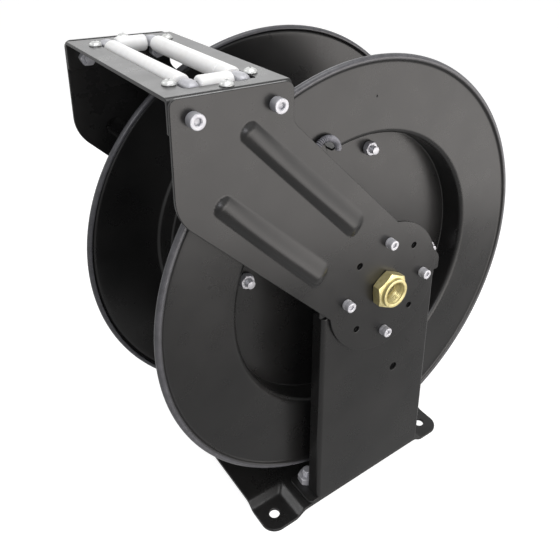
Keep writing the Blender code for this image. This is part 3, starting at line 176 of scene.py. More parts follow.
def polar(radius: float, degrees: float) -> Pair:
    """Return the (x, z) of a point round the hub, with z from the floor."""
    angle = math.radians(degrees)
    return radius * math.cos(angle), AXIS_HEIGHT + radius * math.sin(angle)


def panel(x: float, y: float, radius: float, steps: int = 6) -> Array:
    """Return a rounded rectangle about the middle, from its half lengths."""
    return fillet([(-x, -y, radius), (x, -y, radius), (x, y, radius), (-x, y, radius)], steps=steps)


def hub_holes(middle: float) -> list[Array]:
    """Return the ring of eight holes round the hub, and the hole in its middle."""
    holes = [ring(*polar(HUB_CIRCLE, 45 * i), HUB_HOLE, 24) for i in range(8)]
    return holes + [ring(0, AXIS_HEIGHT, middle, 48)]


def grid(points: Array, wrap_rows: bool = False) -> Shape:
    """Skin a grid of points with quads, whose last column joins the first.

    Args:
        points: a (rows, columns, 3) array.
        wrap_rows: whether the last row joins the first as well.

    Returns:
        The surface.
    """
    rows, columns = points.shape[:2]
    index = np.arange(rows * columns).reshape(rows, columns)
    if wrap_rows:
        index = np.vstack([index, index[:1]])
    index = np.hstack([index, index[:, :1]])
    quads = np.stack([index[:-1, :-1], index[:-1, 1:], index[1:, 1:], index[1:, :-1]], -1)
    return Shape(points.reshape(-1, 3), quads.reshape(-1, 4))


@dataclass(frozen=True)
class Thread:
    """A screw thread: how deep it goes, its pitch, the wall it is cut in, and its spans."""

    depth: float
    pitch: float
    wall: float
    spans: Sequence[Pair]

    def bite(self, radius: Array, level: Array, angle: Array) -> Array:
        """Return how much the thread takes off a grid of points.

        It is the depth times a triangle wave of (level / pitch + turn), faded in over a
        pitch at both ends of each span, and nothing away from the wall.

        Args:
            radius: each point's radius.
            level: each point's level.
            angle: each column's angle.

        Returns:
            What is taken off, or added where the depth is less than 0.
        """
        wave = 1 - np.abs(2 * ((level / self.pitch + angle / math.tau) % 1) - 1)
        fades = [np.minimum(level - low, high - level) / self.pitch for low, high in self.spans]
        fade = np.clip(np.maximum.reduce(fades), 0, 1)
        return np.where(np.abs(radius - self.wall) < 0.01, self.depth * wave * fade, 0)


def revolve(rows: Array, columns: int = 96, closed: bool = False,
            flats: Array | None = None, sides: int = 6, thread: Thread | None = None,
            ribs: Array | None = None, rib_count: int = 36) -> Shape:
    """Turn a profile about the Y axis.

    The point of row i and column j lies at radius r and level y, where r is the row's
    radius, or the distance to the flat of a prism where that is less. Ribs take off their
    height times a rounded wave of the turn.

    Args:
        rows: (radius, level) of each row.
        columns: points round the axis.
        closed: whether the profile is a closed loop, as in a tube.
        flats: the width across flats of each row, or 0 where it is round.
        sides: how many flats there are.
        thread: a screw thread.
        ribs: the height of small ribs on each row.
        rib_count: how many ribs there are.

    Returns:
        The surface.
    """
    angle = np.arange(columns) * math.tau / columns
    radius = np.repeat(rows[:, :1].astype(float), columns, 1)
    level = np.repeat(rows[:, 1:2].astype(float), columns, 1)
    if flats is not None:
        sector = math.tau / sides
        lean = np.cos((angle % sector) - sector / 2)
        radius = np.minimum(radius, np.where(flats[:, None] > 0, flats[:, None] / 2 / lean, np.inf))
    if thread:
        radius = radius - thread.bite(radius, level, angle)
    if ribs is not None:
        radius = radius - ribs[:, None] * (0.5 - 0.5 * np.cos(angle * rib_count))
    points = np.stack([radius * np.cos(angle), level, radius * np.sin(angle)], -1)
    return grid(points, closed)


def crossed(loop: Array, axis: int, levels: Array) -> Array:
    """Add a point to a closed loop wherever it crosses one of some levels.

    On each edge, from a to b, the level v is met at the share (v - a) / (b - a).

    Args:
        loop: the loop's (x, y) points.
        axis: 0 for levels of x, 1 for levels of y.
        levels: the levels.

    Returns:
        The loop with the new points in their places.
    """
    closed = np.vstack([loop, loop[:1]])
    step = np.diff(closed[:, axis])
    step = np.where(np.abs(step) < 1e-9, np.inf, step)
    share = (levels[None] - loop[:, axis:axis + 1]) / step[:, None]
    hit = (share > 1e-6) & (share < 1 - 1e-6)
    number = np.arange(len(loop))
    places = np.sort(np.concatenate([number, (number[:, None] + share)[hit]]))
    return np.stack([np.interp(places, np.arange(len(closed)), closed[:, i]) for i in (0, 1)], 1)


def inward(loop: Array) -> Array:
    """Return the mitred normals of a closed loop.

    Each is the sum of the two edges' left normals, made so long that both edges move in by 1.

    Args:
        loop: the loop's (x, y) points.

    Returns:
        A vector for each point, to its left.
    """
    ahead = np.roll(loop, -1, 0) - loop
    ahead /= np.linalg.norm(ahead, axis=1, keepdims=True)
    back = np.roll(ahead, 1, 0)
    left = np.stack([-ahead[:, 1], ahead[:, 0]], 1) + np.stack([-back[:, 1], back[:, 0]], 1)
    left /= np.linalg.norm(left, axis=1, keepdims=True)
    mitre = left[:, 0] * -ahead[:, 1] + left[:, 1] * ahead[:, 0]
    return left / np.clip(mitre, 0.4, 1)[:, None]


def wound(loop: Array, hole: bool) -> Array:
    """Turn a loop round where its material isn't on its left.

    Args:
        loop: the loop's (x, y) points.
        hole: whether the material is outside the loop.

    Returns:
        The loop, or the same points in reverse.
    """
    x, y = loop[:, 0], loop[:, 1]
    area = np.sum(x * np.roll(y, -1) - np.roll(x, -1) * y)
    return loop if (area > 0) != hole else loop[::-1]


def within(spots: Array, loops: list[Array]) -> Array:
    """Find the points inside the first loop and outside its holes.

    A ray from each point is counted against every edge, and an odd count is inside.

    Args:
        spots: the (x, y) points.
        loops: the outline and its holes.

    Returns:
        A mask of the points.
    """
    inside = np.zeros(len(spots), bool)
    for loop in loops:
        one, two = loop, np.roll(loop, -1, 0)
        cross = (one[None, :, 1] > spots[:, None, 1]) != (two[None, :, 1] > spots[:, None, 1])
        rise = two[:, 1] - one[:, 1]
        rise = np.where(np.abs(rise) < 1e-12, 1e-12, rise)
        at = one[:, 0] + (spots[:, 1:2] - one[:, 1]) / rise * (two[:, 0] - one[:, 0])
        inside ^= (np.sum(cross & (spots[:, :1] < at), 1) % 2).astype(bool)
    return inside


def clear_of(spots: Array, loops: list[Array], room: float) -> Array:
    """Find the points that lie farther than some room from every edge.

    The nearest point of an edge is at the share of it that the offset's dot product gives.

    Args:
        spots: the (x, y) points.
        loops: the loops.
        room: the least distance.

    Returns:
        A mask of the points.
    """
    near = np.full(len(spots), np.inf)
    for loop in loops:
        step = np.roll(loop, -1, 0) - loop
        length = np.maximum(np.sum(step * step, 1), 1e-12)
        offset = spots[:, None, :] - loop[None]
        share = np.clip(np.sum(offset * step[None], 2) / length, 0, 1)
        gap = np.linalg.norm(offset - share[..., None] * step[None], axis=2)
        near = np.minimum(near, gap.min(1))
    return near > room


def dots(x: Pair, y: Pair, step: float) -> Array:
    """Spread points evenly over a box.

    Args:
        x: the box from left to right.
        y: the box from low to high.
        step: how far the points are apart.

    Returns:
        The (x, y) points.
    """
    over = np.arange(x[0], x[1] + step / 2, step)
    up = np.arange(y[0], y[1] + step / 2, step)
    return np.stack(np.meshgrid(over, up), -1).reshape(-1, 2)


def sheet(outer: Array, holes: Sequence[Array], thickness: float, edge: float = 0.5,
          inner: Array | None = None, room: float = 0.5, lift: Lift | None = None,
          bend: Bend | None = None) -> Shape:
    """Make a sheet with rounded edges from its outline and holes.

    Each loop is carried round a quarter circle, along the wall and round another quarter
    circle. The two faces between the loops are triangles over the loops' points and the
    inner points. Lift then raises every point by a height that depends on its place, and
    bend carries the flat pattern onto its folded form.

    Args:
        outer: the outline.
        holes: the outlines of the holes.
        thickness: the sheet's thickness.
        edge: the radius of the rounded edges.
        inner: more points on the faces, for where they aren't flat.
        room: how far the inner points stay from the loops.
        lift: the height that is added at each (x, y).
        bend: the folding of the (n, 3) points of the flat pattern.

    Returns:
        The closed sheet, lying in its (x, y) plane with its face at plus half a thickness.
    """
    loops = [wound(outer, False)] + [wound(hole, True) for hole in holes]
    angle = np.linspace(0, math.pi / 2, 4)
    inset = edge * (1 - np.sin(angle))
    level = thickness / 2 - edge * (1 - np.cos(angle))
    inset = np.concatenate([inset, inset[::-1]])
    level = np.concatenate([level, -level[::-1]])
    borders, walls = [], []
    for loop in loops:
        flat = loop[None] + inset[:, None, None] * inward(loop)[None]
        high = np.broadcast_to(level[:, None, None], flat.shape[:2] + (1,))
        walls.append(grid(np.concatenate([flat, high], -1)))
        borders.append(flat[0])
    spots = np.vstack(borders)
    ends = []
    start = 0
    for border in borders:
        index = np.arange(len(border)) + start
        ends.append(np.stack([index, np.roll(index, -1)], 1))
        start += len(border)
    if inner is not None:
        inner = inner[within(inner, borders)]
        inner = inner[clear_of(inner, borders, room)]
        spots = np.vstack([spots, inner])
    made = delaunay_2d_cdt([Vector(spot) for spot in spots], np.vstack(ends).tolist(), [], 0, 1e-5)
    flat = np.array([tuple(spot) for spot in made[0]])
    tris = np.array([tuple(face) for face in made[2]], int)
    tris = tris[within(flat[tris].mean(1), borders)]
    over = Shape(np.column_stack([flat, np.full(len(flat), thickness / 2)]), tris=tris)
    under = Shape(np.column_stack([flat, np.full(len(flat), -thickness / 2)]), tris=tris[:, ::-1])
    shape = over.plus(under, *walls)
    if lift:
        shape.points[:, 2] += lift(shape.points[:, 0], shape.points[:, 1])
    if bend:
        shape.points = bend(shape.points)
    return shape


def fold(points: Array, axis: int, reach: float, bends: Array | bool = True) -> Array:
    """Fold both ends of a flat pattern back.

    Past the bend's start, the first quarter turn of length goes round the bend, and the
    rest runs straight back.

    Args:
        points: the (n, 3) points of the flat pattern.
        axis: which way the pattern is folded, 0 for x and 1 for y.
        reach: how far out the folded part lies.
        bends: which points may be folded.

    Returns:
        The folded points.
    """
    level = points[:, 2]
    middle = BEND_RADIUS - SHEET / 2
    start = reach - BEND_RADIUS
    past = np.abs(points[:, axis]) - start
    turned = np.clip(past / middle, 0, math.pi / 2)
    straight = np.maximum(past - middle * math.pi / 2, 0)
    out = start + (middle + level) * np.sin(turned)
    back = (middle + level) * np.cos(turned) - middle - straight
    bends = bends & (past > 0)
    folded = points.copy()
    folded[:, axis] = np.where(bends, np.sign(points[:, axis]) * out, points[:, axis])
    folded[:, 2] = np.where(bends, back, level)
    return folded


def bend_lines(reach: float) -> Array:
    """Return the lines along which a flat pattern is divided, so that it bends smoothly."""
    start = reach - BEND_RADIUS
    return np.linspace(start, start + (BEND_RADIUS - SHEET / 2) * math.pi / 2, 9)


def facing(side: Side) -> Matrix:
    """Return the turn that points a front fastener to its side."""
    return turn(0 if side is Side.FRONT else 180, "Z")


def upright(shape: Shape, y: float, side: Side = Side.REAR) -> Shape:
    """Stand a flat pattern up: its x stays, its y becomes height and its face turns to a side."""
    x, z, level = shape.points.T
    return Shape(np.stack([x, y + side.value * level, z], 1), shape.quads, shape.tris)


def tube(path: Array, radius: Array, columns: int = 16) -> Shape:
    """Carry a circle along a path.

    Each row is a circle across the path, in the plane of two directions that are kept as
    level as they can be, and its radius is the row's own. The two ends close to points.

    Args:
        path: an (n, 3) array of centres.
        radius: the radius at each centre.
        columns: points round the tube.

    Returns:
        The surface.
    """
    along = np.gradient(path, axis=0)
    along /= np.linalg.norm(along, axis=1, keepdims=True)
    across = np.cross(along, np.array([0.0, 1.0, 0.0]))
    across /= np.linalg.norm(across, axis=1, keepdims=True)
    up = np.cross(across, along)
    angle = np.arange(columns) * math.tau / columns
    rim = across[:, None] * np.cos(angle)[None, :, None] + up[:, None] * np.sin(angle)[None, :, None]
    return grid(path[:, None] + radius[:, None, None] * rim)


def solid(shape: Shape, name: str, merge: float = 0.001) -> bpy.types.Object:
    """Turn a shape into an object at the origin, with closed seams and outward faces.

    Args:
        shape: the shape, in millimetres.
        name: the object's name.
        merge: points nearer than this become one.

    Returns:
        The object.
    """
    mesh = bpy.data.meshes.new(name)
    faces = shape.quads.tolist() + shape.tris.tolist()
    mesh.from_pydata((shape.points * MM).tolist(), [], faces)
    bm = bmesh.new()
    bm.from_mesh(mesh)
    bmesh.ops.remove_doubles(bm, verts=bm.verts, dist=merge * MM)
    bmesh.ops.dissolve_degenerate(bm, edges=bm.edges, dist=merge * MM / 10)
    bmesh.ops.recalc_face_normals(bm, faces=bm.faces)
    bm.to_mesh(mesh)
    bm.free()
    piece = bpy.data.objects.new(name, mesh)
    bpy.context.scene.collection.objects.link(piece)
    return piece


def soften(piece: bpy.types.Object, sharp: float = 38.0) -> bpy.types.Object:
    """Shade a piece smooth with even flats.

    Args:
        piece: the object.
        sharp: edges that turn by more degrees than this stay sharp.

    Returns:
        The same object.
    """
    mesh = piece.data
    mesh.shade_smooth()
    mesh.set_sharp_from_angle(angle=math.radians(sharp))
    even = piece.modifiers.new("even_flats", "WEIGHTED_NORMAL")
    even.weight = 60
    even.keep_sharp = True
    return piece


def cut(piece: bpy.types.Object, tool: Shape) -> bpy.types.Object:
    """Cut a shape out of a piece for good.

    Args:
        piece: the object to cut.
        tool: the shape that is taken away.

    Returns:
        The same object with its new mesh.
    """
    cutter = solid(tool, piece.name + "_cutter")
    step = piece.modifiers.new("cut", "BOOLEAN")
    step.operation = "DIFFERENCE"
    step.solver = "EXACT"
    step.object = cutter
    graph = bpy.context.evaluated_depsgraph_get()
    mesh = bpy.data.meshes.new_from_object(piece.evaluated_get(graph))
    piece.modifiers.remove(step)
    piece.data = mesh
    bpy.data.objects.remove(cutter)
    return piece


def rod(radius: float, low: float, high: float, columns: int = 32) -> Shape:
    """Return a closed plain rod along Y, for cutting."""
    rows = np.array([(0, low), (radius, low), (radius, high), (0, high)], float)
    return revolve(rows, columns)


# Finishes

class Slot(Enum):
    """The record's material slots."""

    BLACK = "black_paint"
    ZINC = "zinc_plate"
    BRASS = "brass"
    STEEL = "steel"
    NYLON = "white_nylon"
    RUBBER = "rubber"
    SPRING = "spring_steel"


class Nodes:
    """A node tree in the making, with a short way to add and join its nodes."""

    def __init__(self, owner: bpy.types.Material | bpy.types.World) -> None:
        """Take over the tree of a material or a world."""
        owner.use_nodes = True
        self.tree = owner.node_tree

    def add(self, kind: str, *feeds: Socket | float | Sequence[float],
            **settings: object) -> bpy.types.Node:
        """Add a node.

        Args:
            kind: the node's type, without its first word.
            feeds: what goes into its first sockets, each a socket to join or a value.
            settings: its own settings.

        Returns:
            The node.
        """
        node = self.tree.nodes.new("ShaderNode" + kind)
        for name, value in settings.items():
            setattr(node, name, value)
        for socket, feed in zip(node.inputs, feeds):
            if isinstance(feed, Socket):
                self.tree.links.new(feed, socket)
            else:
                socket.default_value = feed
        return node

    def sum(self, kind: str, first: Socket, *others: Socket) -> Socket:
        """Join patterns by one kind of sum.

        Args:
            kind: the sum, such as MULTIPLY or MAXIMUM.
            first: the first pattern.
            others: the patterns that join it, one after another.

        Returns:
            The joined pattern.
        """
        for other in others:
            first = self.add("Math", first, other, operation=kind).outputs[0]
        return first

    def spread(self, source: Socket, low: float, high: float, start: float = 0.3,
               end: float = 0.7) -> Socket:
        """Carry a pattern from one range of values to another."""
        return self.add("MapRange", source, start, end, low, high).outputs["Result"]

    def seen(self) -> Socket:
        """Tell the rays that show the background: camera, glossy and through glass.

        Returns:
            1 for these rays and 0 for others.
        """
        path = self.add("LightPath").outputs
        return self.sum("MAXIMUM", path["Is Camera Ray"], path["Is Glossy Ray"],
                        path["Is Transmission Ray"])


class Finish(Nodes):
    """A material in the making."""

    def __init__(self, name: str) -> None:
        """Start a material with its shader.

        Args:
            name: the material's name.
        """
        self.material = bpy.data.materials.new(name)
        super().__init__(self.material)
        self.shader = self.tree.nodes["Principled BSDF"]
        self.place = self.add("TexCoord").outputs["Object"]

    def set(self, **values: object) -> None:
        """Set the shader's own sockets; an underline stands for a space."""
        for name, value in values.items():
            self.shader.inputs[name.replace("_", " ")].default_value = value

    def noise(self, size: float, detail: float = 3.0, stretch: Sequence[float] = (1, 1, 1),
              rough: float = 0.5) -> Socket:
        """Add a cloudy pattern.

        Args:
            size: the size of its blotches in millimetres.
            detail: how many finer layers it has.
            stretch: how often it repeats along each axis, to draw it out.
            rough: how strong the finer layers are.

        Returns:
            The pattern, from 0 to 1.
        """
        mapping = self.add("Mapping", self.place)
        mapping.inputs["Scale"].default_value = stretch
        node = self.add("TexNoise", mapping.outputs["Vector"])
        values = {"Scale": 1 / (size * MM), "Detail": detail, "Roughness": rough}
        for name, value in values.items():
            node.inputs[name].default_value = value
        return node.outputs["Fac"]

    def colours(self, source: Socket, one: Triple, two: Triple, start: float = 0.3,
                end: float = 0.7) -> Socket:
        """Carry a pattern to a run between two colours.

        Args:
            source: the pattern.
            one: the first colour.
            two: the second colour.
            start: the value up to which the first colour is plain.
            end: the value from which the second colour is plain.

        Returns:
            The colour.
        """
        node = self.add("ValToRGB", source)
        for element, position, colour in zip(node.color_ramp.elements, (start, end), (one, two)):
            element.position = position
            element.color = (*colour, 1)
        return node.outputs["Color"]

    def mixed(self, share: Socket, one: Socket, two: Triple) -> Socket:
        """Lay a plain colour over another one.

        Args:
            share: how much of it shows.
            one: the colour below.
            two: the plain colour.

        Returns:
            The mixed colour.
        """
        node = self.add("Mix", share, data_type="RGBA")
        node.inputs[7].default_value = (*two, 1)
        self.tree.links.new(one, node.inputs[6])
        return node.outputs[2]

    def feed(self, source: Socket, name: str) -> None:
        """Join a pattern to one of the shader's sockets."""
        self.tree.links.new(source, self.shader.inputs[name])

    def bumps(self, *layers: tuple[Socket, float, float]) -> None:
        """Stack bump layers on the shader.

        Args:
            layers: the pattern, strength and height in millimetres of each.
        """
        before = None
        for source, strength, height in layers:
            node = self.add("Bump", strength, height * MM)
            self.tree.links.new(source, node.inputs["Height"])
            if before:
                self.tree.links.new(before, node.inputs["Normal"])
            before = node.outputs["Normal"]
        self.feed(before, "Normal")


@dataclass(frozen=True)
class PowderCoat:
    """Satin black powder coat with fine orange peel, a trace of dust and a painted highlight on the
    discs' rolled rims.
    """

    dark: Triple = (0.0075, 0.0075, 0.0075)
    light: Triple = (0.0125, 0.0122, 0.012)
    dust: Triple = (0.10, 0.097, 0.094)
    # painted highlight colour for the rolled rims of the discs
    rim_highlight_colour: Triple = (0.085, 0.085, 0.093)
    gloss: Pair = (0.25, 0.33)
    rim: tuple[float, float, float, float] = (219.2, 221.5, 225.5, 226.0)
    half: float = 91.0

    def rim_highlight(self, finish: Finish) -> Socket:
        """Find where a painted highlight lightens the discs' rolled rims.

        It is 1 where a point's distance from the axle lies within the rim's rolled edge and
        its distance from the middle plane within the discs, thinned by a cloudy pattern.

        Args:
            finish: the material being built.

        Returns:
            The share that carries the painted highlight.
        """
        flat = finish.add("VectorMath", finish.place, (1, 0, 1), (0, 0, -AXIS_HEIGHT * MM),
                          operation="MULTIPLY_ADD").outputs["Vector"]
        reach = finish.add("VectorMath", flat, operation="LENGTH").outputs["Value"]
        y = finish.add("SeparateXYZ", finish.place).outputs["Y"]
        start, full, last, end = (MM * level for level in self.rim)
        half = self.half * MM
        return finish.sum("MULTIPLY", finish.spread(reach, 0, 1, start, full),
                          finish.spread(reach, 1, 0, last, end),
                          finish.spread(y, 0, 1, -half - MM, -half),
                          finish.spread(y, 1, 0, half, half + MM),
                          finish.spread(finish.noise(9, 5, rough=0.65), 0.55, 1))

    def material(self) -> bpy.types.Material:
        """Build the material: cloudy colour and gloss, dust on level faces, a painted highlight on
        the rims, orange peel.

        Returns:
            The material.
        """
        finish = Finish("satin_black_coat")
        finish.set(IOR=1.5, Specular_IOR_Level=0.32)
        colour = finish.colours(finish.noise(60, 4), self.dark, self.light)
        normal = finish.add("NewGeometry").outputs["Normal"]
        upward = finish.add("SeparateXYZ", normal).outputs["Z"]
        dusty = finish.sum("MULTIPLY", finish.spread(upward, 0, 1, 0.5, 1),
                           finish.spread(finish.noise(2.2, 6, rough=0.7), 0, 0.08, 0.42, 0.8))
        colour = finish.mixed(dusty, colour, self.dust)
        # painted highlight: the rims' rolled edges take a lighter colour
        finish.feed(finish.mixed(self.rim_highlight(finish), colour, self.rim_highlight_colour), "Base Color")
        finish.feed(finish.spread(finish.noise(34, 5, rough=0.6), *self.gloss), "Roughness")
        finish.bumps((finish.noise(1.6, 2), 0.05, 0.1), (finish.noise(0.45, 2), 0.05, 0.04))
        return finish.material


@dataclass(frozen=True)
class PlatedMetal:
    """A bright metal with cloudy gloss, fine drawn lines and, if wanted, painted shade in specks
    round one spot.
    """

    name: str
    clean: Triple
    dull: Triple
    gloss: Pair = (0.22, 0.38)
    metal: float = 1.0
    blotch: float = 4.0
    lines: Triple = (1.0, 12.0, 1.0)
    # painted shade: the middle and reach of a spot darkened in specks
    bore_shade: tuple[Triple, float] | None = None

    def paint_bore_shade(self, finish: Finish, colour: Socket) -> Socket:
        """Darken the colour in specks within a stated distance of a point: painted shade for a
        hollow.

        Args:
            finish: the material being built.
            colour: the clean colour.

        Returns:
            The colour with its painted shade.
        """
        spot, reach = self.bore_shade
        away = finish.add("VectorMath", finish.place, spot, operation="DISTANCE").outputs["Value"]
        share = finish.sum("MULTIPLY", finish.spread(away, 1, 0, reach * 0.92, reach),
                           finish.spread(finish.noise(1.4, 4, rough=0.7), 0.4, 1, 0.35, 0.6))
        return finish.mixed(share, colour, tuple(0.2 * part for part in self.dull))

    def material(self) -> bpy.types.Material:
        """Build the material: two tones by a cloudy pattern and drawn-out fine lines.

        Returns:
            The material.
        """
        finish = Finish(self.name)
        finish.set(Metallic=self.metal)
        colour = finish.colours(finish.noise(self.blotch, 5, rough=0.6), self.clean, self.dull,
                                0.35, 0.75)
        # painted shade: specks darken the colour round one spot
        if self.bore_shade:
            colour = self.paint_bore_shade(finish, colour)
        finish.feed(colour, "Base Color")
        lines = finish.noise(3.0, 4, self.lines, 0.6)
        finish.feed(finish.spread(lines, *self.gloss), "Roughness")
        finish.bumps((lines, 0.18, 0.05), (finish.noise(0.6, 2), 0.08, 0.03))
        return finish.material


@dataclass(frozen=True)
class Moulded:
    """A moulded plastic or rubber with a soft grain."""

    name: str
    pale: Triple
    deep: Triple
    gloss: Pair
    scatter: float = 0.0

    def material(self) -> bpy.types.Material:
        """Build the material: faint clouds in the colour, a grained gloss and bump.

        Returns:
            The material.
        """
        finish = Finish(self.name)
        finish.set(IOR=1.5)
        if self.scatter:
            finish.set(Subsurface_Weight=self.scatter, Subsurface_Radius=(1.0, 0.9, 0.8),
                       Subsurface_Scale=1.5 * MM)
        finish.feed(finish.colours(finish.noise(9, 5, rough=0.6), self.pale, self.deep), "Base Color")
        finish.feed(finish.spread(finish.noise(5, 4), *self.gloss), "Roughness")
        finish.bumps((finish.noise(0.5, 3), 0.15, 0.04), (finish.noise(6, 2), 0.1, 0.15))
        return finish.material


FINISHES = {
    Slot.BLACK: PowderCoat(),
    Slot.ZINC: PlatedMetal("bright_zinc", (0.45, 0.45, 0.47), (0.33, 0.33, 0.36), (0.42, 0.58), 0.4),
    # the brass's last entry paints shade into the inlet's bore
    Slot.BRASS: PlatedMetal("pale_brass", (0.63, 0.56, 0.29), (0.46, 0.395, 0.17), (0.28, 0.42), 0.7,
                            5.0, (1.0, 9.0, 1.0), ((0, -0.1205, 0.25), 0.012)),
    Slot.STEEL: PlatedMetal("plain_steel", (0.60, 0.61, 0.60), (0.46, 0.46, 0.45), (0.36, 0.52), 0.7),
    Slot.NYLON: Moulded("white_nylon", (0.85, 0.85, 0.845), (0.78, 0.775, 0.765), (0.34, 0.46), 0.12),
    Slot.RUBBER: Moulded("grey_rubber", (0.24, 0.24, 0.265), (0.10, 0.10, 0.112), (0.35, 0.5)),
    Slot.SPRING: PlatedMetal("spring_steel", (0.34, 0.35, 0.37), (0.24, 0.23, 0.23), (0.26, 0.42)),
}


class Workshop:
    """Hands finished shapes over to the frame: finish, body, node and a line in the log."""

    def __init__(self) -> None:
        """Make the finishes and look up each node's body."""
        self.materials = {slot: finish.material() for slot, finish in FINISHES.items()}
        bodies = frame["record"]["behaviour"]["bodies"]
        self.body = {node: body for body, nodes in bodies.items() for node in nodes}

    def dress(self, piece: bpy.types.Object, slot: Slot) -> None:
        """Give a piece its finish, in each of its material slots.

        Args:
            piece: a new piece or a CAD node.
            slot: its slot.
        """
        if not piece.material_slots:
            piece.data.materials.append(self.materials[slot])
        for place in piece.material_slots:
            place.material = self.materials[slot]

    def hand_over(self, piece: bpy.types.Object, slot: Slot, node: str) -> None:
        """Dress a finished piece and let it stand for a CAD node.

        Args:
            piece: the piece.
            slot: its slot.
            node: the node's name.
        """
        soften(piece)
        self.dress(piece, slot)
        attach(piece, self.body[node])
        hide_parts(node)
        count = sum(len(face.vertices) - 2 for face in piece.data.polygons)
        LOG.info("%s: %d triangles, %s", node, count, slot.value)

    def make(self, shape: Shape, slot: Slot, node: str) -> None:
        """Make a shape into the piece that stands for a node."""
        self.hand_over(solid(shape, node + "_form"), slot, node)

    def keep(self, slot: Slot, node: str) -> None:
        """Give a CAD node that stays in view its finish."""
        self.dress(frame["nodes"][node], slot)
        LOG.info("%s: kept, %s", node, slot.value)


# Fasteners

@dataclass
class Fasteners:
    """Shapes of screws, nuts and studs, all along Y with the head or nut to the front."""

    columns: int = 72
    knurls: int = 36
    knurl_depth: float = 0.2

    def socket_screw(self, shank: float, head: float, height: float, reach: float,
                     washer: Pair = (0.0, 0.0)) -> Shape:
        """Make a socket head screw, seated at level 0 with its knurled head towards -Y.

        Args:
            shank: the shank's radius.
            head: the head's radius.
            height: the head's height.
            reach: how far the shank goes in.
            washer: the washer's radius and thickness.

        Returns:
            The screw.
        """
        wide, thick = washer
        top = -thick - height
        socket = head * 0.82
        inner = socket / math.sqrt(3)
        rows = fillet([(0, reach, 0), (shank - 0.5, reach, 0.1), (shank, reach - 0.5, 0.1),
                       (shank, -thick, 0), (head, -thick, 0.15), (head, top, 0.7),
                       (inner + 0.5, top, 0.1), (inner, top + 0.5, 0),
                       (inner, top + height * 0.32, 0), (0, top + height * 0.4, 0)],
                      closed=False, steps=5)
        wall = np.flatnonzero(np.abs(rows[:, 0] - head) < 0.01)
        low, high = rows[wall, 1].min(), rows[wall, 1].max()
        first = wall[0] + 1
        rows = np.insert(rows, first, [(head, high - 0.05), (head, low + 0.05)], axis=0)
        flats, ribs = np.zeros((2, len(rows)))
        flats[-3:-1] = socket
        ribs[first:first + 2] = self.knurl_depth
        screw = revolve(rows, 4 * self.knurls, flats=flats, ribs=ribs, rib_count=self.knurls)
        if wide:
            loop = fillet([(shank + 0.2, 0, 0), (wide, 0, 0.2), (wide, -thick, 0.15),
                           (shank + 0.2, -thick, 0)], steps=3)
            screw = screw.plus(revolve(loop, self.columns, closed=True))
        return screw

    def button_screw(self, shank: float, head: float, height: float, reach: float) -> Shape:
        """Make a low domed screw with a hexagon socket, seated at level 0.

        Args:
            shank: the shank's radius.
            head: the head's radius.
            height: the head's height.
            reach: how far the shank goes in.

        Returns:
            The screw.
        """
        dome = arc(0, 0, 1, 0, 78, 16)
        dome = np.stack([head * dome[:, 0], -height * dome[:, 1] / dome[-1, 1]], 1)
        socket = shank * 0.8
        inner = socket / math.sqrt(3)
        rows = np.vstack([
            [(0, reach), (shank - 0.4, reach), (shank, reach - 0.4), (shank, 0), (head, 0)], dome[1:],
            [(min(inner + 0.25, dome[-1, 0] - 0.1), -height), (inner, -height + 0.3),
             (inner, -height * 0.4), (0, -height * 0.25)]])
        flats = np.zeros(len(rows))
        flats[-3:-1] = socket
        return revolve(rows, self.columns, flats=flats)

    def nut(self, width: float, height: float, bore: float) -> Shape:
        """Make a hexagon nut from level 0 to -height, with its corners turned off.

        Each row's radius is the lesser of the hexagon's and of a cone at either end.

        Args:
            width: the width across flats.
            height: the nut's height.
            bore: the bore's radius.

        Returns:
            The nut.
        """
        corner, low = width / math.sqrt(3), width / 2 * 0.97
        cone = np.linspace(0, corner - low, 6)
        end = np.stack([low + cone, -0.62 * cone], 1)
        loop = np.vstack([[(bore, -height + 0.6), (bore, -0.6), (bore + 0.6, 0)], end,
                          end[::-1] * (1, -1) - (0, height), [(bore + 0.6, -height)]])
        flats = np.zeros(len(loop))
        flats[3:-1] = width
        return revolve(loop, self.columns, closed=True, flats=flats)

    def stud(self, radius: float, low: float, high: float, pitch: float,
             spans: Sequence[Pair]) -> Shape:
        """Make a rod along Y whose stated spans carry a screw thread.

        Args:
            radius: the rod's radius.
            low: its front end.
            high: its rear end.
            pitch: the thread's pitch.
            spans: where the thread runs, from level to level.

        Returns:
            The rod.
        """
        edge = radius * 0.2
        levels = [np.arange(*span, pitch / 6) for span in spans]
        level = np.unique(np.concatenate([[low + edge], *levels, [high - edge]]))
        rows = np.vstack([[(0, low), (radius - edge, low)],
                          np.stack([np.full(len(level), radius), level], 1),
                          [(radius - edge, high), (0, high)]])
        return revolve(rows, 36, thread=Thread(pitch / 2, pitch, radius, spans))


FASTENERS = Fasteners()


# Drum

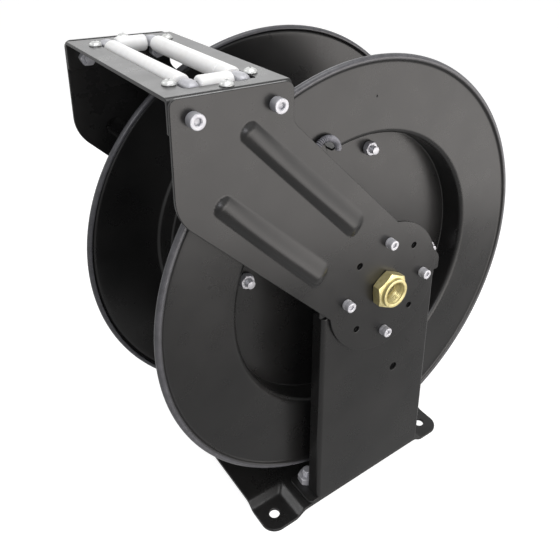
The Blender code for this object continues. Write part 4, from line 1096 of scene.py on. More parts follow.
@dataclass
class Drum:
    """The turning drum: two dished discs, the barrel, tie studs and the spring's case."""

    shop: Workshop
    radius: float = 225.0
    gauge: float = 1.5
    bead: float = 3.5
    crest: float = 2.9
    floor_corner: float = 1.3
    lip: float = 6.0
    bore: float = 19.3
    hang_place: Pair = (186.0, 89.0)
    hang_hole: Triple = (1.6, -6.0, 6.0)
    notch: Triple = (12.5, -8.0, 22.5)
    stud_circle: float = 125.0
    stud_angle: float = 80.0
    stud: float = 4.0
    stud_pitch: float = 1.25
    nut: Pair = (13.0, 6.5)
    stick_out: float = 6.0
    bush_radii: Triple = (12.85, 19.0, 30.0)
    bush_flange: float = 6.0
    bush_neck: float = 30.0
    columns: int = 192

    def disc_rows(self) -> Array:
        """Work out the closed profile of a disc.

        The outer face runs along the floor, up the wall, over the lip, along the ring and
        round the curled rim, and the inner face is the same line moved in by the gauge.

        Returns:
            The (radius, depth) of each row.
        """
        bead, edge = self.bead, self.radius - self.bead
        outer = fillet([(self.bore, RECESS_DEPTH, 0), (RECESS, RECESS_DEPTH, self.floor_corner),
                        (RECESS, 0, self.lip), (edge - 2.5 * bead, 0, 0)], closed=False, steps=9)
        foot = [(edge - 1.55 * bead, 0), (edge - 1.2 * bead, -0.15)]
        start = 194 + math.degrees(math.asin((bead - self.crest) / bead))
        curl = arc(edge, bead - self.crest, bead, start, 460, 34)
        outer = np.vstack([outer, foot, curl])
        step = np.gradient(outer, axis=0)
        step /= np.linalg.norm(step, axis=1, keepdims=True)
        inner = outer + self.gauge * np.stack([-step[:, 1], step[:, 0]], 1)
        return np.vstack([outer, inner[::-1]])

    def disc(self, side: Side) -> None:
        """Make one disc, in front with its hanging hole and the notch for the hose.

        Args:
            side: the disc's side.
        """
        node = f"{side.name.lower()}_disc"
        rows = self.disc_rows()
        rows = np.stack([rows[:, 0], DRUM_CENTRE + side.value * (RING_FACE - rows[:, 1])], 1)
        shape = revolve(rows, self.columns, closed=True).moved(shift(z=AXIS_HEIGHT))
        piece = solid(shape, node + "_form")
        if side is Side.FRONT:
            for place, tool in ((self.hang_place, rod(*self.hang_hole, 24)),
                                ((NOTCH_CIRCLE, NOTCH_ANGLE), rod(*self.notch, 48))):
                x, z = polar(*place)
                cut(piece, tool.moved(shift(x, DRUM_CENTRE - RING_FACE, z)))
        self.shop.hand_over(piece, Slot.BLACK, node)

    def barrel(self) -> None:
        """Make the barrel between the two dished centres, as a thin tube."""
        half, outer = FLOOR_FACE - self.gauge - GAP, RECESS - GAP
        loop = np.array([(outer, half), (outer, -half), (outer - self.gauge, -half),
                         (outer - self.gauge, half)])
        shape = revolve(loop, self.columns, closed=True).moved(shift(0, DRUM_CENTRE, AXIS_HEIGHT))
        self.shop.make(shape, Slot.BLACK, "drum_core")

    def tie_studs(self) -> None:
        """Make the studs through both floors, each with a nut at either end."""
        seat = FLOOR_FACE + GAP
        width, height = self.nut
        end, grip = seat + height + self.stick_out, seat + height * 0.8
        stud = FASTENERS.stud(self.stud, -end, end, self.stud_pitch,
                              [(0.4 - end, -grip), (grip, end - 0.4)])
        nuts = [FASTENERS.nut(width, height, self.stud - 0.2).moved(shift(y=y))
                for y in (-seat, seat + height)]
        for i in range(4):
            x, z = polar(self.stud_circle, self.stud_angle + 90 * i)
            shape = stud.plus(*nuts).moved(shift(x, DRUM_CENTRE, z) @ turn(17 * i, "Y"))
            self.shop.make(shape, Slot.ZINC, f"tie_stud_{i + 1}")

    def bush(self) -> None:
        """Make the flanged bush of the rear disc."""
        bore, neck, wide = self.bush_radii
        end, face = FLOOR_FACE + self.bush_neck, FLOOR_FACE - self.gauge - GAP
        low = face - self.bush_flange
        loop = fillet([(neck, end, 0.8), (neck, face, 0), (wide, face, 0.6), (wide, low, 0.8),
                       (bore, low, 0.6), (bore, end, 0.6)], steps=4)
        shape = revolve(loop, closed=True).moved(shift(0, DRUM_CENTRE, AXIS_HEIGHT))
        self.shop.make(shape, Slot.NYLON, "rear_bearing")

    def build(self) -> None:
        """Make the whole drum."""
        self.disc(Side.FRONT)
        self.disc(Side.REAR)
        self.barrel()
        self.tie_studs()
        self.bush()
        self.shop.keep(Slot.STEEL, "spring_case")
        self.shop.keep(Slot.SPRING, "power_spring")


@dataclass
class HoseOutlet:
    """The way of the water: swivel, pipe, hose socket and the ribbed edging."""

    shop: Workshop
    pipe_rise: float = 12.6
    pipe_radii: Pair = (4.5, 6.5)
    neck: Pair = (12.35, 19.0)
    flange: Pair = (44.0, 6.0)
    body: float = 22.0
    ends: Pair = (-98.0, -42.9)
    socket_size: Triple = (17.0, 11.0, 4.5)
    edging: Triple = (12.8, 3.2, 236.0)
    ribs: int = 30
    groove: float = 0.34

    def along(self, shape: Shape, distance: float) -> Shape:
        """Lay a shape along the pipe.

        Args:
            shape: the shape, along Y.
            distance: how far it starts from the drum's axis.

        Returns:
            The shape in its place.
        """
        x, z = polar(distance, NOTCH_ANGLE)
        place = shift(x, DRUM_CENTRE - RING_FACE + self.pipe_rise, z)
        return shape.moved(place @ turn(90 - NOTCH_ANGLE, "Y") @ turn(90, "X"))

    def housing(self) -> None:
        """Make the swivel's housing with its round flange."""
        floor = DRUM_CENTRE - FLOOR_FACE - GAP
        (bore, neck), (wide, thick), (low, high) = self.neck, self.flange, self.ends
        loop = fillet([(neck, high, 0.6), (neck, floor, 0), (wide, floor, 0.5),
                       (wide, floor - thick, 1.2), (self.body, floor - thick, 2),
                       (self.body, low, 1.2), (bore, low, 0.6), (bore, high, 0.6)], steps=5)
        shape = revolve(loop, closed=True).moved(shift(z=AXIS_HEIGHT))
        self.shop.make(shape, Slot.ZINC, "swivel_housing")

    def pipe(self) -> None:
        """Make the pipe from the swivel to the notch."""
        length = RECESS - self.body - 2 * GAP
        bore, outer = self.pipe_radii
        loop = fillet([(outer, 0, 0.4), (outer, length, 0.4), (bore, length, 0.3), (bore, 0, 0.3)],
                      steps=3)
        shape = self.along(revolve(loop, 48, closed=True), self.body + GAP)
        self.shop.make(shape, Slot.STEEL, "outlet_pipe")

    def socket(self) -> None:
        """Make the hexagon socket that takes the hose's end."""
        nut = FASTENERS.nut(*self.socket_size).moved(shift(y=self.socket_size[1]))
        self.shop.make(self.along(nut, RECESS), Slot.BLACK, "hose_fitting")

    def edge_ring(self) -> None:
        """Make the ribbed edging round the notch.

        Its path is an arc round the notch's middle, and its radius swells and narrows with
        a rounded wave along the arc, and closes to a point at either end.
        """
        radius, thick, sweep = self.edging
        x, z = polar(NOTCH_CIRCLE, NOTCH_ANGLE)
        share = np.linspace(0, 1, self.ribs * 8 + 1)
        angle = np.radians(NOTCH_ANGLE - sweep / 2 + sweep * share)
        level = np.full(len(angle), DRUM_CENTRE - RING_FACE - thick - GAP)
        path = np.stack([x + radius * np.cos(angle), level, z + radius * np.sin(angle)], 1)
        wave = 0.5 - 0.5 * np.cos(share * self.ribs * math.tau)
        ends = np.clip(np.minimum(share, 1 - share) * 24, 0, 1)
        size = thick * (1 - self.groove + self.groove * np.sqrt(wave)) * np.sqrt(1 - (1 - ends) ** 2)
        self.shop.make(tube(path, size, 20), Slot.RUBBER, "outlet_trim")

    def build(self) -> None:
        """Make the whole way of the water."""
        self.housing()
        self.pipe()
        self.socket()
        self.edge_ring()
        self.shop.keep(Slot.RUBBER, "swivel_seal")


# Frame

@dataclass
class Arm:
    """One pressed arm with its two long beads, hub holes and rounded head."""

    shop: Workshop
    side: Side
    left: float = 213.5
    top: float = 225.0
    half_band: float = 55.9
    head: float = 69.3
    middle_hole: float = 12.3
    bead_offset: float = 27.5
    bead_half: float = 11.5
    bead_height: float = 5.0
    bead_taper: float = 0.24
    bead_lean: float = 0.34
    bead_spans: tuple[Pair, Pair] = ((84.0, 248.0), (84.0, 226.0))

    def outline(self) -> Array:
        """Work out the arm's outline.

        Two straight edges run at 45 degrees from the wide left end to the round head.

        Returns:
            The (x, height) points.
        """
        reach = self.half_band * math.sqrt(2)
        right = ARM_WIDTH - self.left
        corners = fillet([(right, reach - right, 12), (right, self.top, 8), (-self.left, self.top, 6),
                          (-self.left, self.left - reach, 40), (0, -reach, 0), (reach, 0, 0)],
                         steps=14)[:-2]
        open_by = math.degrees(math.acos(self.half_band / self.head))
        head = arc(0, 0, self.head, 225 - open_by, 405 + open_by, 64)
        return np.vstack([corners, head]) + (0, AXIS_HEIGHT)

    def beads(self) -> list[Triple]:
        """Return each bead's hub end, head end and place across the arm."""
        return [(*span, side * self.bead_offset) for span, side in zip(self.bead_spans, (-1, 1))]

    def widths(self, start: float, end: float, along: Array) -> tuple[Array, ...]:
        """Return how far each point lies past a bead's straight span, and the width there.

        Args:
            start: the bead's hub end.
            end: its head end.
            along: the points' places along the arm.

        Returns:
            The distance past the span, the share of the span passed, and the half width.
        """
        low, high = start + self.bead_half - 2, end - 5
        past = along - np.clip(along, low, high)
        grow = np.clip((along - low) / (high - low), 0, 1)
        return past, grow, self.bead_half * (1.04 - self.bead_taper * grow)

    def raised(self, x: Array, y: Array) -> Array:
        """Work out the beads' height, a hill over a long strip that widens towards the hub.

        Across, the share t of the half width becomes t - lean (1 - g to the power 4)
        (1 - t squared), where g goes from 0 at the hub's end to 1 at the head's, so the hill
        leans outwards and turns even at the head. With the share p of the way past an end it
        gives the distance d, by power 3, so nearly square, at the hub's end and by power 2,
        with p times 1.4, at the head's. The height is (1 - d squared) to the power 1.2, and a
        quarter lower at the head's end.

        Args:
            x: each point's x.
            y: each point's height on the standing arm.

        Returns:
            How far each point is raised.
        """
        y = y - AXIS_HEIGHT
        along = (y - x) / math.sqrt(2)
        across = -(x + y) / math.sqrt(2)
        height = np.zeros_like(x)
        for start, end, offset in self.beads():
            past, grow, half = self.widths(start, end, along)
            side = np.clip((across - offset) / half, -1, 1)
            side = np.abs(side - self.bead_lean * (1 - grow ** 4) * (1 - side ** 2))
            power = np.where(past < 0, 3.0, 2.0)
            past = np.where(past < 0, -past, 1.4 * past) / half
            share = np.clip((past ** power + side ** power) ** (1 / power), 0, 1)
            height += self.bead_height * (1 - 0.25 * grow) * (1 - share ** 2) ** 1.2
        return height

    def spots(self) -> Array:
        """Lay fine points over the two beads, in rows that follow their taper.

        Returns:
            The (x, height) points.
        """
        out = []
        for start, end, offset in self.beads():
            along = np.linspace(start - 5, end + 5, round((end - start) / 1.2))
            half = self.widths(start, end, along)[2]
            across = (offset + half[:, None] * np.linspace(-1.32, 1.32, 29)).ravel()
            along = np.repeat(along, 29)
            out.append(np.stack([-along - across, along - across], 1) / math.sqrt(2))
        return np.vstack(out) + (0, AXIS_HEIGHT)

    def build(self) -> None:
        """Make the arm as one sheet."""
        flat = sheet(self.outline(), hub_holes(self.middle_hole), SHEET, 0.55, self.spots(), 0.4,
                     self.raised)
        middle = self.side.value * (FRAME_HALF - SHEET / 2)
        self.shop.make(upright(flat, middle, self.side), Slot.BLACK, f"{self.side.name.lower()}_arm")


@dataclass
class Pedestal:
    """One pedestal: a bent channel with a flat head, on a foot that is bolted down."""

    shop: Workshop
    side: Side
    half: float = 74.5
    head_half: float = 79.0
    head_top: float = 66.0
    shoulder: float = 7.5
    relief: float = 3.5
    flange: float = 16.0
    foot_left: float = 84.0
    foot_depth: float = 38.0
    low: float = 9.5
    middle_hole: float = 12.3
    pawl_hole: float = 4.5

    def folded(self, points: Array) -> Array:
        """Fold the legs of the channel back, below the flat head."""
        legs = points[:, 1] < AXIS_HEIGHT - self.shoulder - self.relief / 2
        return fold(points, 0, self.half, legs)

    def outline(self) -> Array:
        """Work out the flat pattern of web, legs and head.

        Returns:
            The (x, height) points.
        """
        neck, bent = bend_lines(self.half)[[0, -1]]
        leg = bent + self.flange - BEND_RADIUS
        low, top, wide = -self.shoulder, self.head_top, self.head_half
        right = [(leg, self.low - AXIS_HEIGHT, 0), (leg, low - self.relief, 2),
                 (neck, low - self.relief, 0.8), (neck, low, 0.8), (wide, low - 0.5, 2.4),
                 (wide, top * 0.12, 12), (top * 0.66, top * 0.74, 24), (top * 0.3, top, 24)]
        left = [(-x, y, radius) for x, y, radius in reversed(right)]
        return fillet(right + left, steps=8) + (0, AXIS_HEIGHT)

    def build(self) -> None:
        """Make the channel and its foot."""
        x, drop = PAWL_PIVOT
        holes = hub_holes(self.middle_hole) + [ring(x, AXIS_HEIGHT - drop, self.pawl_hole)]
        over = bend_lines(self.half)
        up = np.linspace(self.low, AXIS_HEIGHT - self.shoulder - self.relief - 1, 24)
        spots = np.stack(np.meshgrid(over, up), -1).reshape(-1, 2)
        spots = np.vstack([spots, spots * (-1, 1)])
        outline = crossed(self.outline(), 0, np.concatenate([-over, over]))
        flat = sheet(outline, holes, SHEET, 0.5, spots, 0.3, bend=self.folded)
        channel = upright(flat, self.side.value * (PEDESTAL_OUTER - SHEET / 2), self.side)
        left, right = -self.foot_left, self.half - GAP
        near, far = PEDESTAL_OUTER - 0.06, PEDESTAL_OUTER - self.foot_depth
        foot = panel((right - left) / 2, (near - far) / 2, 5, 8)
        foot += ((right + left) / 2, self.side.value * (near + far) / 2)
        foot = sheet(foot, [], SHEET, 0.5).moved(shift(z=self.low + SHEET / 2))
        self.shop.make(channel.plus(foot), Slot.BLACK, f"{self.side.name.lower()}_pedestal")


@dataclass
class BasePlate:
    """The base: a raised sheet whose four corners are pressed down as feet."""

    shop: Workshop
    left: float = 133.0
    right: float = 115.0
    half: float = 108.5
    rise: float = 6.2
    corner: float = 15.0
    foot: Pair = (34.0, 35.0)
    slope: float = 9.0
    softness: float = 1.4
    hole_inset: Pair = (17.0, 19.0)
    hole: float = 5.5
    fine: float = 54.0
    anchors: Triple = (-69.0, 58.0, 82.2)
    bolt: float = 5.0
    bolt_pitch: float = 1.5
    bolt_flats: float = 17.0
    bolt_head: Pair = (4.8, 3.0)
    bolt_nut: Pair = (8.0, 4.8)
    bolt_end: float = 15.0

    def height(self, x: Array, y: Array) -> Array:
        """Work out the sheet's height, low on its feet and high between them.

        How far a point lies past the foot is the softened greater of its two distances, and
        the slope between both levels has rounded ends.

        Args:
            x: each point's x.
            y: each point's y.

        Returns:
            The height of the sheet's middle.
        """
        past_x = np.minimum(x + self.left, self.right - x) - self.foot[0]
        past_y = self.half - np.abs(y) - self.foot[1]
        past = (past_x + past_y + np.sqrt((past_x - past_y) ** 2 + 2.0)) / 2
        share = np.hypot(past, self.softness) - np.hypot(past - self.slope, self.softness)
        share = np.clip((share + self.slope) / 2 / self.slope, 0, 1)
        return self.rise * share + SHEET / 2

    def build(self) -> None:
        """Make the base as one sheet, with fine points on its edges and over its feet."""
        middle = (self.right - self.left) / 2
        outline = panel((self.left + self.right) / 2, self.half, self.corner, 14) + (middle, 0)
        corners = np.split(outline, 4)
        ends = []
        for i, corner in enumerate(corners):
            one, two = corner[-1], corners[(i + 1) % 4][0]
            ends += [corner, one + (two - one) * np.linspace(0, 1, 62)[1:-1, None]]
        inset_x, inset_y = self.hole_inset
        holes = [ring(x, y, self.hole, 40) for x in (inset_x - self.left, self.right - inset_x)
                 for y in (inset_y - self.half, self.half - inset_y)]
        fine = self.fine
        spots = [dots((x, x + fine), (y, y + fine), 1.5) for x in (-self.left, self.right - fine)
                 for y in (-self.half, self.half - fine)]
        shape = sheet(np.vstack(ends), holes, SHEET, 0.6, np.vstack(spots), 0.6, self.height)
        self.shop.make(shape, Slot.BLACK, "base_plate")
        self.bolts()

    def bolts(self) -> None:
        """Make the bolts and nuts that hold the pedestals down."""
        *across, y = self.anchors
        under = self.rise - GAP - self.bolt_head[0]
        seat = self.rise + 2 * (SHEET + GAP)
        end = seat + self.bolt_end
        bolt = FASTENERS.stud(self.bolt, under + 1, end, self.bolt_pitch, [(seat + 4, end - 0.5)])
        for level, (height, bore) in ((under, self.bolt_head), (seat, self.bolt_nut)):
            nut = FASTENERS.nut(self.bolt_flats, height, bore)
            bolt = bolt.plus(nut.moved(shift(y=level + height)))
        for number, (side, x) in enumerate(product(Side, across), 1):
            place = shift(x, side.value * y) @ turn(90, "X") @ turn(23 * number, "Y")
            self.shop.make(bolt.moved(place), Slot.ZINC, f"anchor_bolt_{number}")


# Roller guide

@dataclass
class RollerGuide:
    """The bracket between the arms, with the carrier and its four rollers."""

    shop: Workshop
    middle: float = -162.8
    top: float = 475.0
    flange: float = 27.0
    window: Pair = (30.0, 91.0)
    carrier: Triple = (41.0, 104.0, 2.5)
    saddle_rise: float = 3.2
    saddle_round: float = 4.6
    play: float = 0.6
    roller: float = 7.6
    bore: float = 3.35
    half_long: float = 70.5
    half_short: float = 14.3
    spacing: Pair = (21.5, 80.5)
    pin_height: float = 472.4
    pin: float = 3.0
    pin_past: float = 5.6
    seam: float = 18.0
    bolt: Triple = (3.0, 5.6, 3.8)
    bolt_past: float = 7.4
    bolt_nut: Triple = (10.0, 5.0, 2.8)
    bolt_place: Triple = (33.8, 76.0, 99.0)
    screw: Triple = (4.0, 6.1, 8.0)
    screw_past: float = 11.0
    screw_nut: Triple = (13.0, 8.0, 3.8)
    screw_place: Pair = (34.0, 16.0)

    def bracket(self) -> None:
        """Make the bracket as one folded sheet."""
        half, lines = ARM_WIDTH / 2, bend_lines(PEDESTAL_OUTER)
        spots = np.stack(np.meshgrid(np.linspace(-half, half, 12), lines), -1).reshape(-1, 2)
        spots = np.vstack([spots, spots * (1, -1)])
        outline = panel(half, lines[-1] + self.flange - BEND_RADIUS, 2)
        outline = crossed(outline, 1, np.concatenate([-lines, lines]))
        shape = sheet(outline, [panel(*self.window, 2.5)], SHEET, 0.5, spots, 0.3,
                      bend=lambda points: fold(points, 1, PEDESTAL_OUTER))
        shape = shape.moved(shift(self.middle, 0, self.top - SHEET / 2))
        self.shop.make(shape, Slot.BLACK, "roller_bracket")

    def saddle(self, sign_x: int, sign_y: int) -> Shape:
        """Return one saddle, a soft lug that stands in the window.

        Round the lug, the half lengths go by the cosine and the sine to the power 0.75.
        Upwards they shrink by a cosine to the power 0.8, while the level rises by the sine.

        Args:
            sign_x: the side of the window that it stands at.
            sign_y: the end of the window that it stands at.

        Returns:
            The saddle.
        """
        wide, long = self.window
        near, far = self.half_short + self.play, wide - 2.6
        start, end = self.half_long + self.play, long - GAP
        low = self.top - SHEET - GAP - self.carrier[2] + 0.1
        angle = np.arange(64) * math.tau / 64
        over, along = (np.sign(wave) * np.abs(wave) ** 0.75 / 2
                       for wave in (np.cos(angle), np.sin(angle)))
        rise = np.linspace(0, math.pi / 2, 12)
        size = np.concatenate([[0, 1], np.cos(rise[:-1]) ** 0.8, [0]])[:, None]
        crown = self.top + self.saddle_rise + self.saddle_round * (np.sin(rise) - 1)
        level = np.concatenate([[low, low], crown])
        points = np.stack([self.middle + sign_x * (near + far) / 2 + size * over * (far - near),
                           sign_y * (start + end) / 2 + size * along * (end - start),
                           np.repeat(level[:, None], 64, 1)], -1)
        return grid(points)

    def carrier_plate(self) -> None:
        """Make the plate under the bracket with its four saddles."""
        half_x, half_y, thick = self.carrier
        wide, long = self.window
        window = panel(wide - self.play, long - self.play, 2)
        plate = sheet(panel(half_x, half_y, 3), [window], thick, 0.4)
        plate = plate.moved(shift(self.middle, 0, self.top - SHEET - GAP - thick / 2))
        saddles = [self.saddle(*signs) for signs in product((-1, 1), repeat=2)]
        self.shop.make(plate.plus(*saddles), Slot.ZINC, "roller_carrier")

    def roller_shape(self, half: float, seam: float) -> Shape:
        """Make one roller along Y, a tube with soft ends.

        Args:
            half: half its length.
            seam: how far from its end a fine seam lies, or 0.

        Returns:
            The roller.
        """
        bore, outer, level = self.bore, self.roller, seam - half
        groove = [(outer, level - 0.8, 0.2), (outer - 0.8, level, 0.15), (outer, level + 0.8, 0.2)]
        line = [(bore, -half, 0.4), (outer, -half, 2.5), *(groove if seam else []),
                (outer, half, 2.5), (bore, half, 0.4)]
        return revolve(fillet(line, steps=8), 64, closed=True)

    def rollers(self) -> None:
        """Make the four rollers and their pins, whose thread's span is too short to show."""
        x, y = self.spacing
        for name, x, y, half, seam in (("left", -x, 0, self.half_long, 0),
                                       ("right", x, 0, self.half_long, self.seam),
                                       ("front", 0, -y, self.half_short, 0),
                                       ("rear", 0, y, self.half_short, 0)):
            place = shift(self.middle + x, y, self.pin_height) @ turn(-90 if y else 0, "Z")
            self.shop.make(self.roller_shape(half, seam).moved(place), Slot.NYLON, f"roller_{name}")
            end = half + self.pin_past
            pin = FASTENERS.stud(self.pin, -end, end, 1, [(0, 0.1)])
            self.shop.make(pin.moved(place), Slot.STEEL, f"roller_pin_{name}")

    def bolts(self) -> None:
        """Make the domed bolts through bracket and carrier, and the screws in the arms."""
        x, y, end = self.bolt_place
        spots = [(sign_x * x, sign_y * y) for sign_x, sign_y in product((-1, 1), repeat=2)]
        grip = SHEET + 3 * GAP + self.carrier[2]
        screw = FASTENERS.button_screw(*self.bolt, grip + self.bolt_past)
        screw = screw.plus(FASTENERS.nut(*self.bolt_nut).moved(shift(y=grip + self.bolt_nut[1])))
        for i, (x, y) in enumerate(spots + [(0, -end), (0, end)]):
            place = shift(self.middle + x, y, self.top + GAP) @ turn(-90, "X") @ turn(31 * i, "Y")
            self.shop.make(screw.moved(place), Slot.STEEL, f"guide_bolt_{i + 1}")
        grip = 2 * SHEET + 3 * GAP
        screw = FASTENERS.socket_screw(*self.screw, grip + self.screw_past)
        screw = screw.plus(FASTENERS.nut(*self.screw_nut).moved(shift(y=grip + self.screw_nut[1])))
        out, down = self.screw_place
        for number, (side, x) in enumerate(product(Side, (-out, out)), 1):
            place = shift(self.middle + x, side.value * (FRAME_HALF + GAP), self.top - down)
            place = place @ facing(side) @ turn(19 * number, "Y")
            self.shop.make(screw.moved(place), Slot.ZINC, f"bracket_screw_{number}")

    def build(self) -> None:
        """Make the whole guide."""
        self.bracket()
        self.carrier_plate()
        self.rollers()
        self.bolts()


# Hub

@dataclass
class Hub:
    """Hub flanges and screws, the brass inlet and the rear shaft."""

    shop: Workshop
    flange: float = 62.0
    flange_gauge: float = 7.0
    flange_inner: float = 98.4
    front_hole: float = 12.3
    rear_hole: float = 12.8
    screw: Triple = (3.0, 5.0, 6.0)
    washer: Pair = (5.2, 2.4)
    inlet_flats: float = 34.0
    inlet_hex: float = 10.0
    inlet_turn: float = 25.0
    boss: Pair = (15.0, 4.7)
    bore: Pair = (11.3, 12.5)
    ridge: Pair = (0.8, 1.8)
    shank: Pair = (12.0, -56.0)
    waterway: float = 5.0
    shaft: float = 12.5
    shaft_start: float = -2.0
    shaft_past: Pair = (5.0, 15.0)
    collar: Triple = (22.0, 8.0, 34.0)
    square: Pair = (12.1, 17.0)

    def flanges(self) -> None:
        """Make the two round flanges behind the pedestals."""
        for side, middle in zip(Side, (self.front_hole, self.rear_hole)):
            flat = sheet(ring(0, AXIS_HEIGHT, self.flange, 96), hub_holes(middle),
                         self.flange_gauge, 0.8)
            y = side.value * (self.flange_inner + self.flange_gauge / 2)
            self.shop.make(upright(flat, y, side), Slot.BLACK, f"{side.name.lower()}_hub_flange")

    def screws(self) -> None:
        """Make the four screws and washers of each side."""
        seat = FRAME_HALF + GAP
        screw = FASTENERS.socket_screw(*self.screw, seat - self.flange_inner, self.washer)
        for side, i in product(Side, range(4)):
            x, z = polar(HUB_CIRCLE, 90 * i)
            place = shift(x, side.value * seat, z) @ facing(side) @ turn(27 * i + 8, "Y")
            self.shop.make(screw.moved(place), Slot.ZINC, f"hub_screw_{side.name.lower()}_{i + 1}")

    def inlet(self) -> None:
        """Make the brass inlet: hexagon, round boss, threaded mouth and long shank."""
        seat = -FRAME_HALF - GAP
        face = seat - self.inlet_hex
        boss, nose = self.boss[0], face - self.boss[1]
        bore, mouth = self.bore[0], nose + self.bore[1]
        shank, end = self.shank
        corner, flat = self.inlet_flats / math.sqrt(3), self.inlet_flats / 2 * 0.985
        rise = np.linspace(0, 1, 8)
        crown = np.stack([corner - (corner - flat) * rise, face + 1.35 - 1.35 * rise], 1)
        heel = np.stack([flat + (corner - flat) * rise, seat - 0.9 * rise], 1)
        front = fillet([(flat, face, 0), (boss + 1.2, face, 0.1), (boss, face - 0.4, 0.5),
                        (boss, nose, 0.8), (bore + 0.9, nose, 0.3), (bore, nose + 0.9, 0)],
                       closed=False, steps=5)[1:]
        depth, pitch = self.ridge
        level = np.arange(nose + 0.9, mouth, pitch / 8)[1:]
        inside = np.stack([np.full(len(level), bore), level], 1)
        rows = np.vstack([[(0, end), (shank - 0.8, end), (shank, end - 0.8), (shank, seat)],
                          heel, crown, front, inside,
                          [(bore, mouth), (self.waterway, mouth + 1.5), (self.waterway, end - 5),
                           (0, end - 4)]])
        flats = np.zeros(len(rows))
        flats[4:4 + len(heel) + len(crown)] = self.inlet_flats
        thread = Thread(-depth, pitch, bore, [(nose + 0.9, mouth)])
        shape = revolve(rows, 144, flats=flats, thread=thread)
        place = shift(z=AXIS_HEIGHT) @ turn(self.inlet_turn, "Y")
        self.shop.make(shape.moved(place), Slot.BRASS, "inlet_spindle")

    def rear_shaft(self) -> None:
        """Make the fixed shaft with the spring's collar and its square end."""
        step, tail = (FRAME_HALF + past for past in self.shaft_past)
        radius, start = self.shaft, self.shaft_start
        collar, near, far = self.collar
        corner, flats = self.square
        rows = fillet([(0, step, 0), (radius, step, 1), (radius, far, 0), (collar, far, 0.8),
                       (collar, near, 0.8), (radius, near, 0), (radius, start, 1), (0, start, 0)],
                      closed=False, steps=4)
        shape = revolve(rows, 96)
        rows = fillet([(0, step - 1, 0), (corner, step - 1, 0), (corner, tail, 1.2), (0, tail, 0)],
                      closed=False, steps=5)
        shape = shape.plus(revolve(rows, 96, flats=np.where(rows[:, 0] > 1, flats, 0), sides=4))
        self.shop.make(shape.moved(shift(z=AXIS_HEIGHT)), Slot.STEEL, "main_shaft")

    def build(self) -> None:
        """Make the whole hub."""
        self.flanges()
        self.screws()
        self.inlet()
        self.rear_shaft()


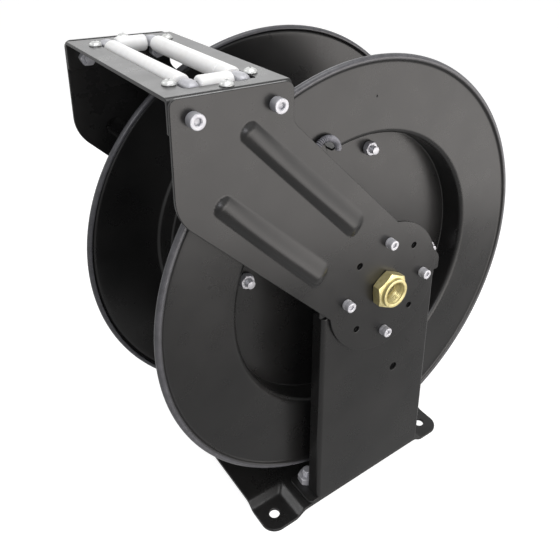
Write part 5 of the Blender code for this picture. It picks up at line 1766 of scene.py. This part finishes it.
@dataclass
class Latch:
    """The notched wheel on the rear disc and the pawl that drops into it."""

    shop: Workshop
    radius: float = 88.0
    notches: int = 12
    notch: float = 8.5
    gauge: float = 5.0
    floor: float = DRUM_CENTRE + FLOOR_FACE
    near: float = DRUM_CENTRE + FLOOR_FACE + 18
    sleeve: Pair = (47.0, 50.0)
    length: float = 33.001
    eye: Pair = (4.35, 9.0)
    tip: float = 2.4
    rest: float = 91.5
    engaged: float = 84.5
    pin_radii: Pair = (4.0, 7.0)
    pin_head: float = 4.0
    pin_rivet: float = 1.2
    spacer: Pair = (91.4, 105.4)
    wire: float = 0.8
    turns: int = 4

    def tip_turn(self, reach: float) -> Pair:
        """Find where the pawl's tip stands, from the triangle of hub, pivot and tip.

        Args:
            reach: the tip's distance from the hub.

        Returns:
            The tip's angle round the hub and the pawl's lean, in degrees.
        """
        x, drop = PAWL_PIVOT
        away = math.hypot(x, drop)
        angle = math.degrees(math.atan2(-drop, x))
        lean = math.acos((away ** 2 + self.length ** 2 - reach ** 2) / (2 * away * self.length))
        swing = math.degrees(math.asin(self.length * math.sin(lean) / reach))
        return angle + swing, math.degrees(lean)

    def wheel(self) -> None:
        """Make the notched wheel on its sleeve."""
        first = self.tip_turn(self.engaged)[0]
        half = 2 * math.degrees(math.asin(self.notch / 2 / self.radius))
        pitch, opening = 360 / self.notches, 90 + half / 2
        out = []
        for angle in (first + pitch * i for i in range(self.notches)):
            x, z = polar(self.radius, angle)
            out.append(arc(x, z, self.notch, angle - opening, angle - 360 + opening, 14)[1:-1])
            out.append(arc(0, AXIS_HEIGHT, self.radius, angle + half, angle + pitch - half, 8))
        inner, outer = self.sleeve
        flat = sheet(np.vstack(out), [ring(0, AXIS_HEIGHT, inner, 96)], self.gauge, 0.6)
        foot, top = self.floor + GAP, self.near + 0.2
        loop = np.array([(outer, top), (outer, foot), (inner, foot), (inner, top)])
        sleeve = revolve(loop, 96, closed=True).moved(shift(z=AXIS_HEIGHT))
        wheel = upright(flat, self.near + self.gauge / 2).plus(sleeve)
        self.shop.make(wheel, Slot.ZINC, "ratchet_wheel")

    def pawl(self) -> None:
        """Make the pawl, a plate with a round eye and a blunt tip."""
        x, drop = PAWL_PIVOT
        hole, eye = self.eye
        aim = math.degrees(math.atan2(-drop, x)) + 180 - self.tip_turn(self.rest)[1]
        turned = math.radians(aim)
        ends = arc(0, 0, eye, aim + 75, aim + 285, 28)
        tip = arc(self.length * math.cos(turned), self.length * math.sin(turned), self.tip,
                  aim - 90, aim + 90, 12)
        outline = np.vstack([ends, tip]) + (x, AXIS_HEIGHT - drop)
        plate = sheet(outline, [ring(x, AXIS_HEIGHT - drop, hole)], self.gauge, 0.6)
        self.shop.make(upright(plate, self.near + self.gauge / 2), Slot.ZINC, "pawl")

    def pin(self) -> None:
        """Make the pawl's pin with its head, spacer and riveted end."""
        inner, outer = self.pin_radii
        low, high = self.spacer
        seat, end = FRAME_HALF - SHEET, self.near - GAP
        top, last = seat + self.pin_head, end - self.pin_rivet
        rows = fillet([(0, top, 0), (outer, top, 1.5), (outer, seat, 0.4), (inner, seat, 0),
                       (inner, high, 0), (outer, high, 0.5), (outer, low, 0.5), (inner, low, 0),
                       (inner, end, 0), (outer, end, 0.4), (outer, last, 0.4), (0, last, 0)],
                      closed=False, steps=4)
        place = shift(PAWL_PIVOT[0], 0, AXIS_HEIGHT - PAWL_PIVOT[1])
        self.shop.make(revolve(rows, 64).moved(place), Slot.ZINC, "pawl_pin")

    def spring(self) -> None:
        """Make the small coil round the pin: a round wire along a helix."""
        wire, turns = self.wire, self.turns
        low, high = self.near + self.gauge + GAP + wire, self.spacer[0] - GAP - wire
        radius = self.pin_radii[0] + 2 * GAP + wire
        share = np.linspace(0, 1, 40 * turns + 1)
        angle = share * turns * math.tau
        path = np.stack([PAWL_PIVOT[0] + radius * np.cos(angle), low + (high - low) * share,
                         AXIS_HEIGHT - PAWL_PIVOT[1] + radius * np.sin(angle)], 1)
        size = wire * np.sqrt(np.clip(1 - np.abs(2 * share - 1) ** 60, 0, 1))
        self.shop.make(tube(path, size, 12), Slot.SPRING, "pawl_spring")

    def build(self) -> None:
        """Make the whole latch."""
        self.wheel()
        self.pawl()
        self.pin()
        self.spring()


# Studio

@dataclass
class Studio:
    """A plain pale floor, soft lamps and the camera at the photograph's angle."""

    place: Triple = (-0.3797, -0.4923, 0.5990)
    right: Triple = (0.78985, -0.61251, 0.03092)
    up: Triple = (0.20605, 0.31253, 0.92730)
    back: Triple = (-0.57765, -0.72606, 0.37306)
    lens: float = 40.82
    offset: Pair = (-0.0868, -0.2172)

    def camera(self) -> None:
        """Place the camera by its three directions."""
        data = bpy.data.cameras.new("view")
        data.lens = self.lens
        data.sensor_width = 36
        data.shift_x, data.shift_y = self.offset
        data.clip_start = 0.01
        data.clip_end = 50
        camera = bpy.data.objects.new("view", data)
        matrix = Matrix((self.right, self.up, self.back)).transposed().to_4x4()
        matrix.translation = Vector(self.place)
        camera.matrix_world = matrix
        bpy.context.scene.collection.objects.link(camera)
        bpy.context.scene.camera = camera

    def lamp(self, name: str, place: Sequence[float], aim: Sequence[float],
             size: Pair, power: float, spread: float = 180.0,
             tint: Triple = (1.0, 1.0, 1.0)) -> None:
        """Add one soft lamp with a flat shining face.

        Args:
            name: the lamp's name.
            place: where it stands, in metres.
            aim: the point that it faces.
            size: its width and height.
            power: its power in watts.
            spread: how wide its light fans out, in degrees.
            tint: its colour.
        """
        data = bpy.data.lights.new(name, "AREA")
        data.shape = "RECTANGLE"
        data.size, data.size_y = size
        data.energy = power
        data.spread = math.radians(spread)
        data.color = tint
        lamp = bpy.data.objects.new(name, data)
        lamp.location = place
        lamp.rotation_euler = (Vector(aim) - Vector(place)).to_track_quat("-Z", "Y").to_euler()
        bpy.context.scene.collection.objects.link(lamp)

    def floor(self) -> None:
        """Lay the floor: pale, white of itself in view, and lit by the lamps but in gloss."""
        bpy.ops.mesh.primitive_plane_add(size=14, location=(0, 0, 0))
        floor = bpy.context.object
        floor.name = "studio_floor"
        material = bpy.data.materials.new("studio_floor")
        nodes = Nodes(material)
        gloss = nodes.add("LightPath").outputs["Is Glossy Ray"]
        glow = nodes.sum("MULTIPLY", nodes.seen(), nodes.spread(gloss, 0.84, 0.58, 0, 1))
        shader = nodes.tree.nodes["Principled BSDF"].inputs
        nodes.tree.links.new(nodes.spread(gloss, 0.38, 0, 0, 1), shader["Base Color"])
        nodes.tree.links.new(glow, shader["Emission Strength"])
        shader["Roughness"].default_value = 0.9
        shader["Specular IOR Level"].default_value = 0.1
        shader["Emission Color"].default_value = (1, 1, 1, 1)
        floor.data.materials.append(material)

    def world(self) -> None:
        """Set the surroundings: white in view, and an even soft light elsewhere."""
        world = bpy.data.worlds.new("studio")
        bpy.context.scene.world = world
        nodes = Nodes(world)
        shader = nodes.tree.nodes["Background"].inputs
        nodes.tree.links.new(nodes.spread(nodes.seen(), 0.35, 1, 0, 1), shader["Strength"])
        shader["Color"].default_value = (1, 1, 1, 1)

    def build(self) -> None:
        """Set up the whole studio."""
        self.camera()
        self.floor()
        self.world()
        middle = (0, 0, 0.24)
        self.lamp("overhead", (0, -0.45, 1.7), (-0.05, -0.3, 0), (1.1, 0.9), 14)
        self.lamp("left_front", (-1.05, -1.35, 1.15), middle, (0.45, 0.45), 7, 180,
                  (0.94, 0.94, 1.0))
        self.lamp("left_rear", (-1.3, 1.12, 1.65), middle, (0.5, 0.5), 6)
        self.lamp("front_panel", (0.26, -0.53, 0.26), (-0.09, 0.47, 0.26), (1.2, 0.5), 3.6, 112,
                  (1.0, 0.955, 0.925))
        self.lamp("rear_panel", (0.5, 1.35, 1.16), (-0.15, 0, 0.45), (0.8, 0.6), 2.9)
        bpy.context.scene.view_settings.view_transform = "Standard"


def main() -> None:
    """Build every sub-assembly in order, then the studio."""
    logging.basicConfig(level=logging.INFO, format="%(name)s %(message)s")
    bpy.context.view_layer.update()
    shop = Workshop()
    BasePlate(shop).build()
    for side in Side:
        Pedestal(shop, side).build()
        Arm(shop, side).build()
    RollerGuide(shop).build()
    Hub(shop).build()
    Drum(shop).build()
    HoseOutlet(shop).build()
    Latch(shop).build()
    Studio().build()


if __name__ == "__main__":
    main()
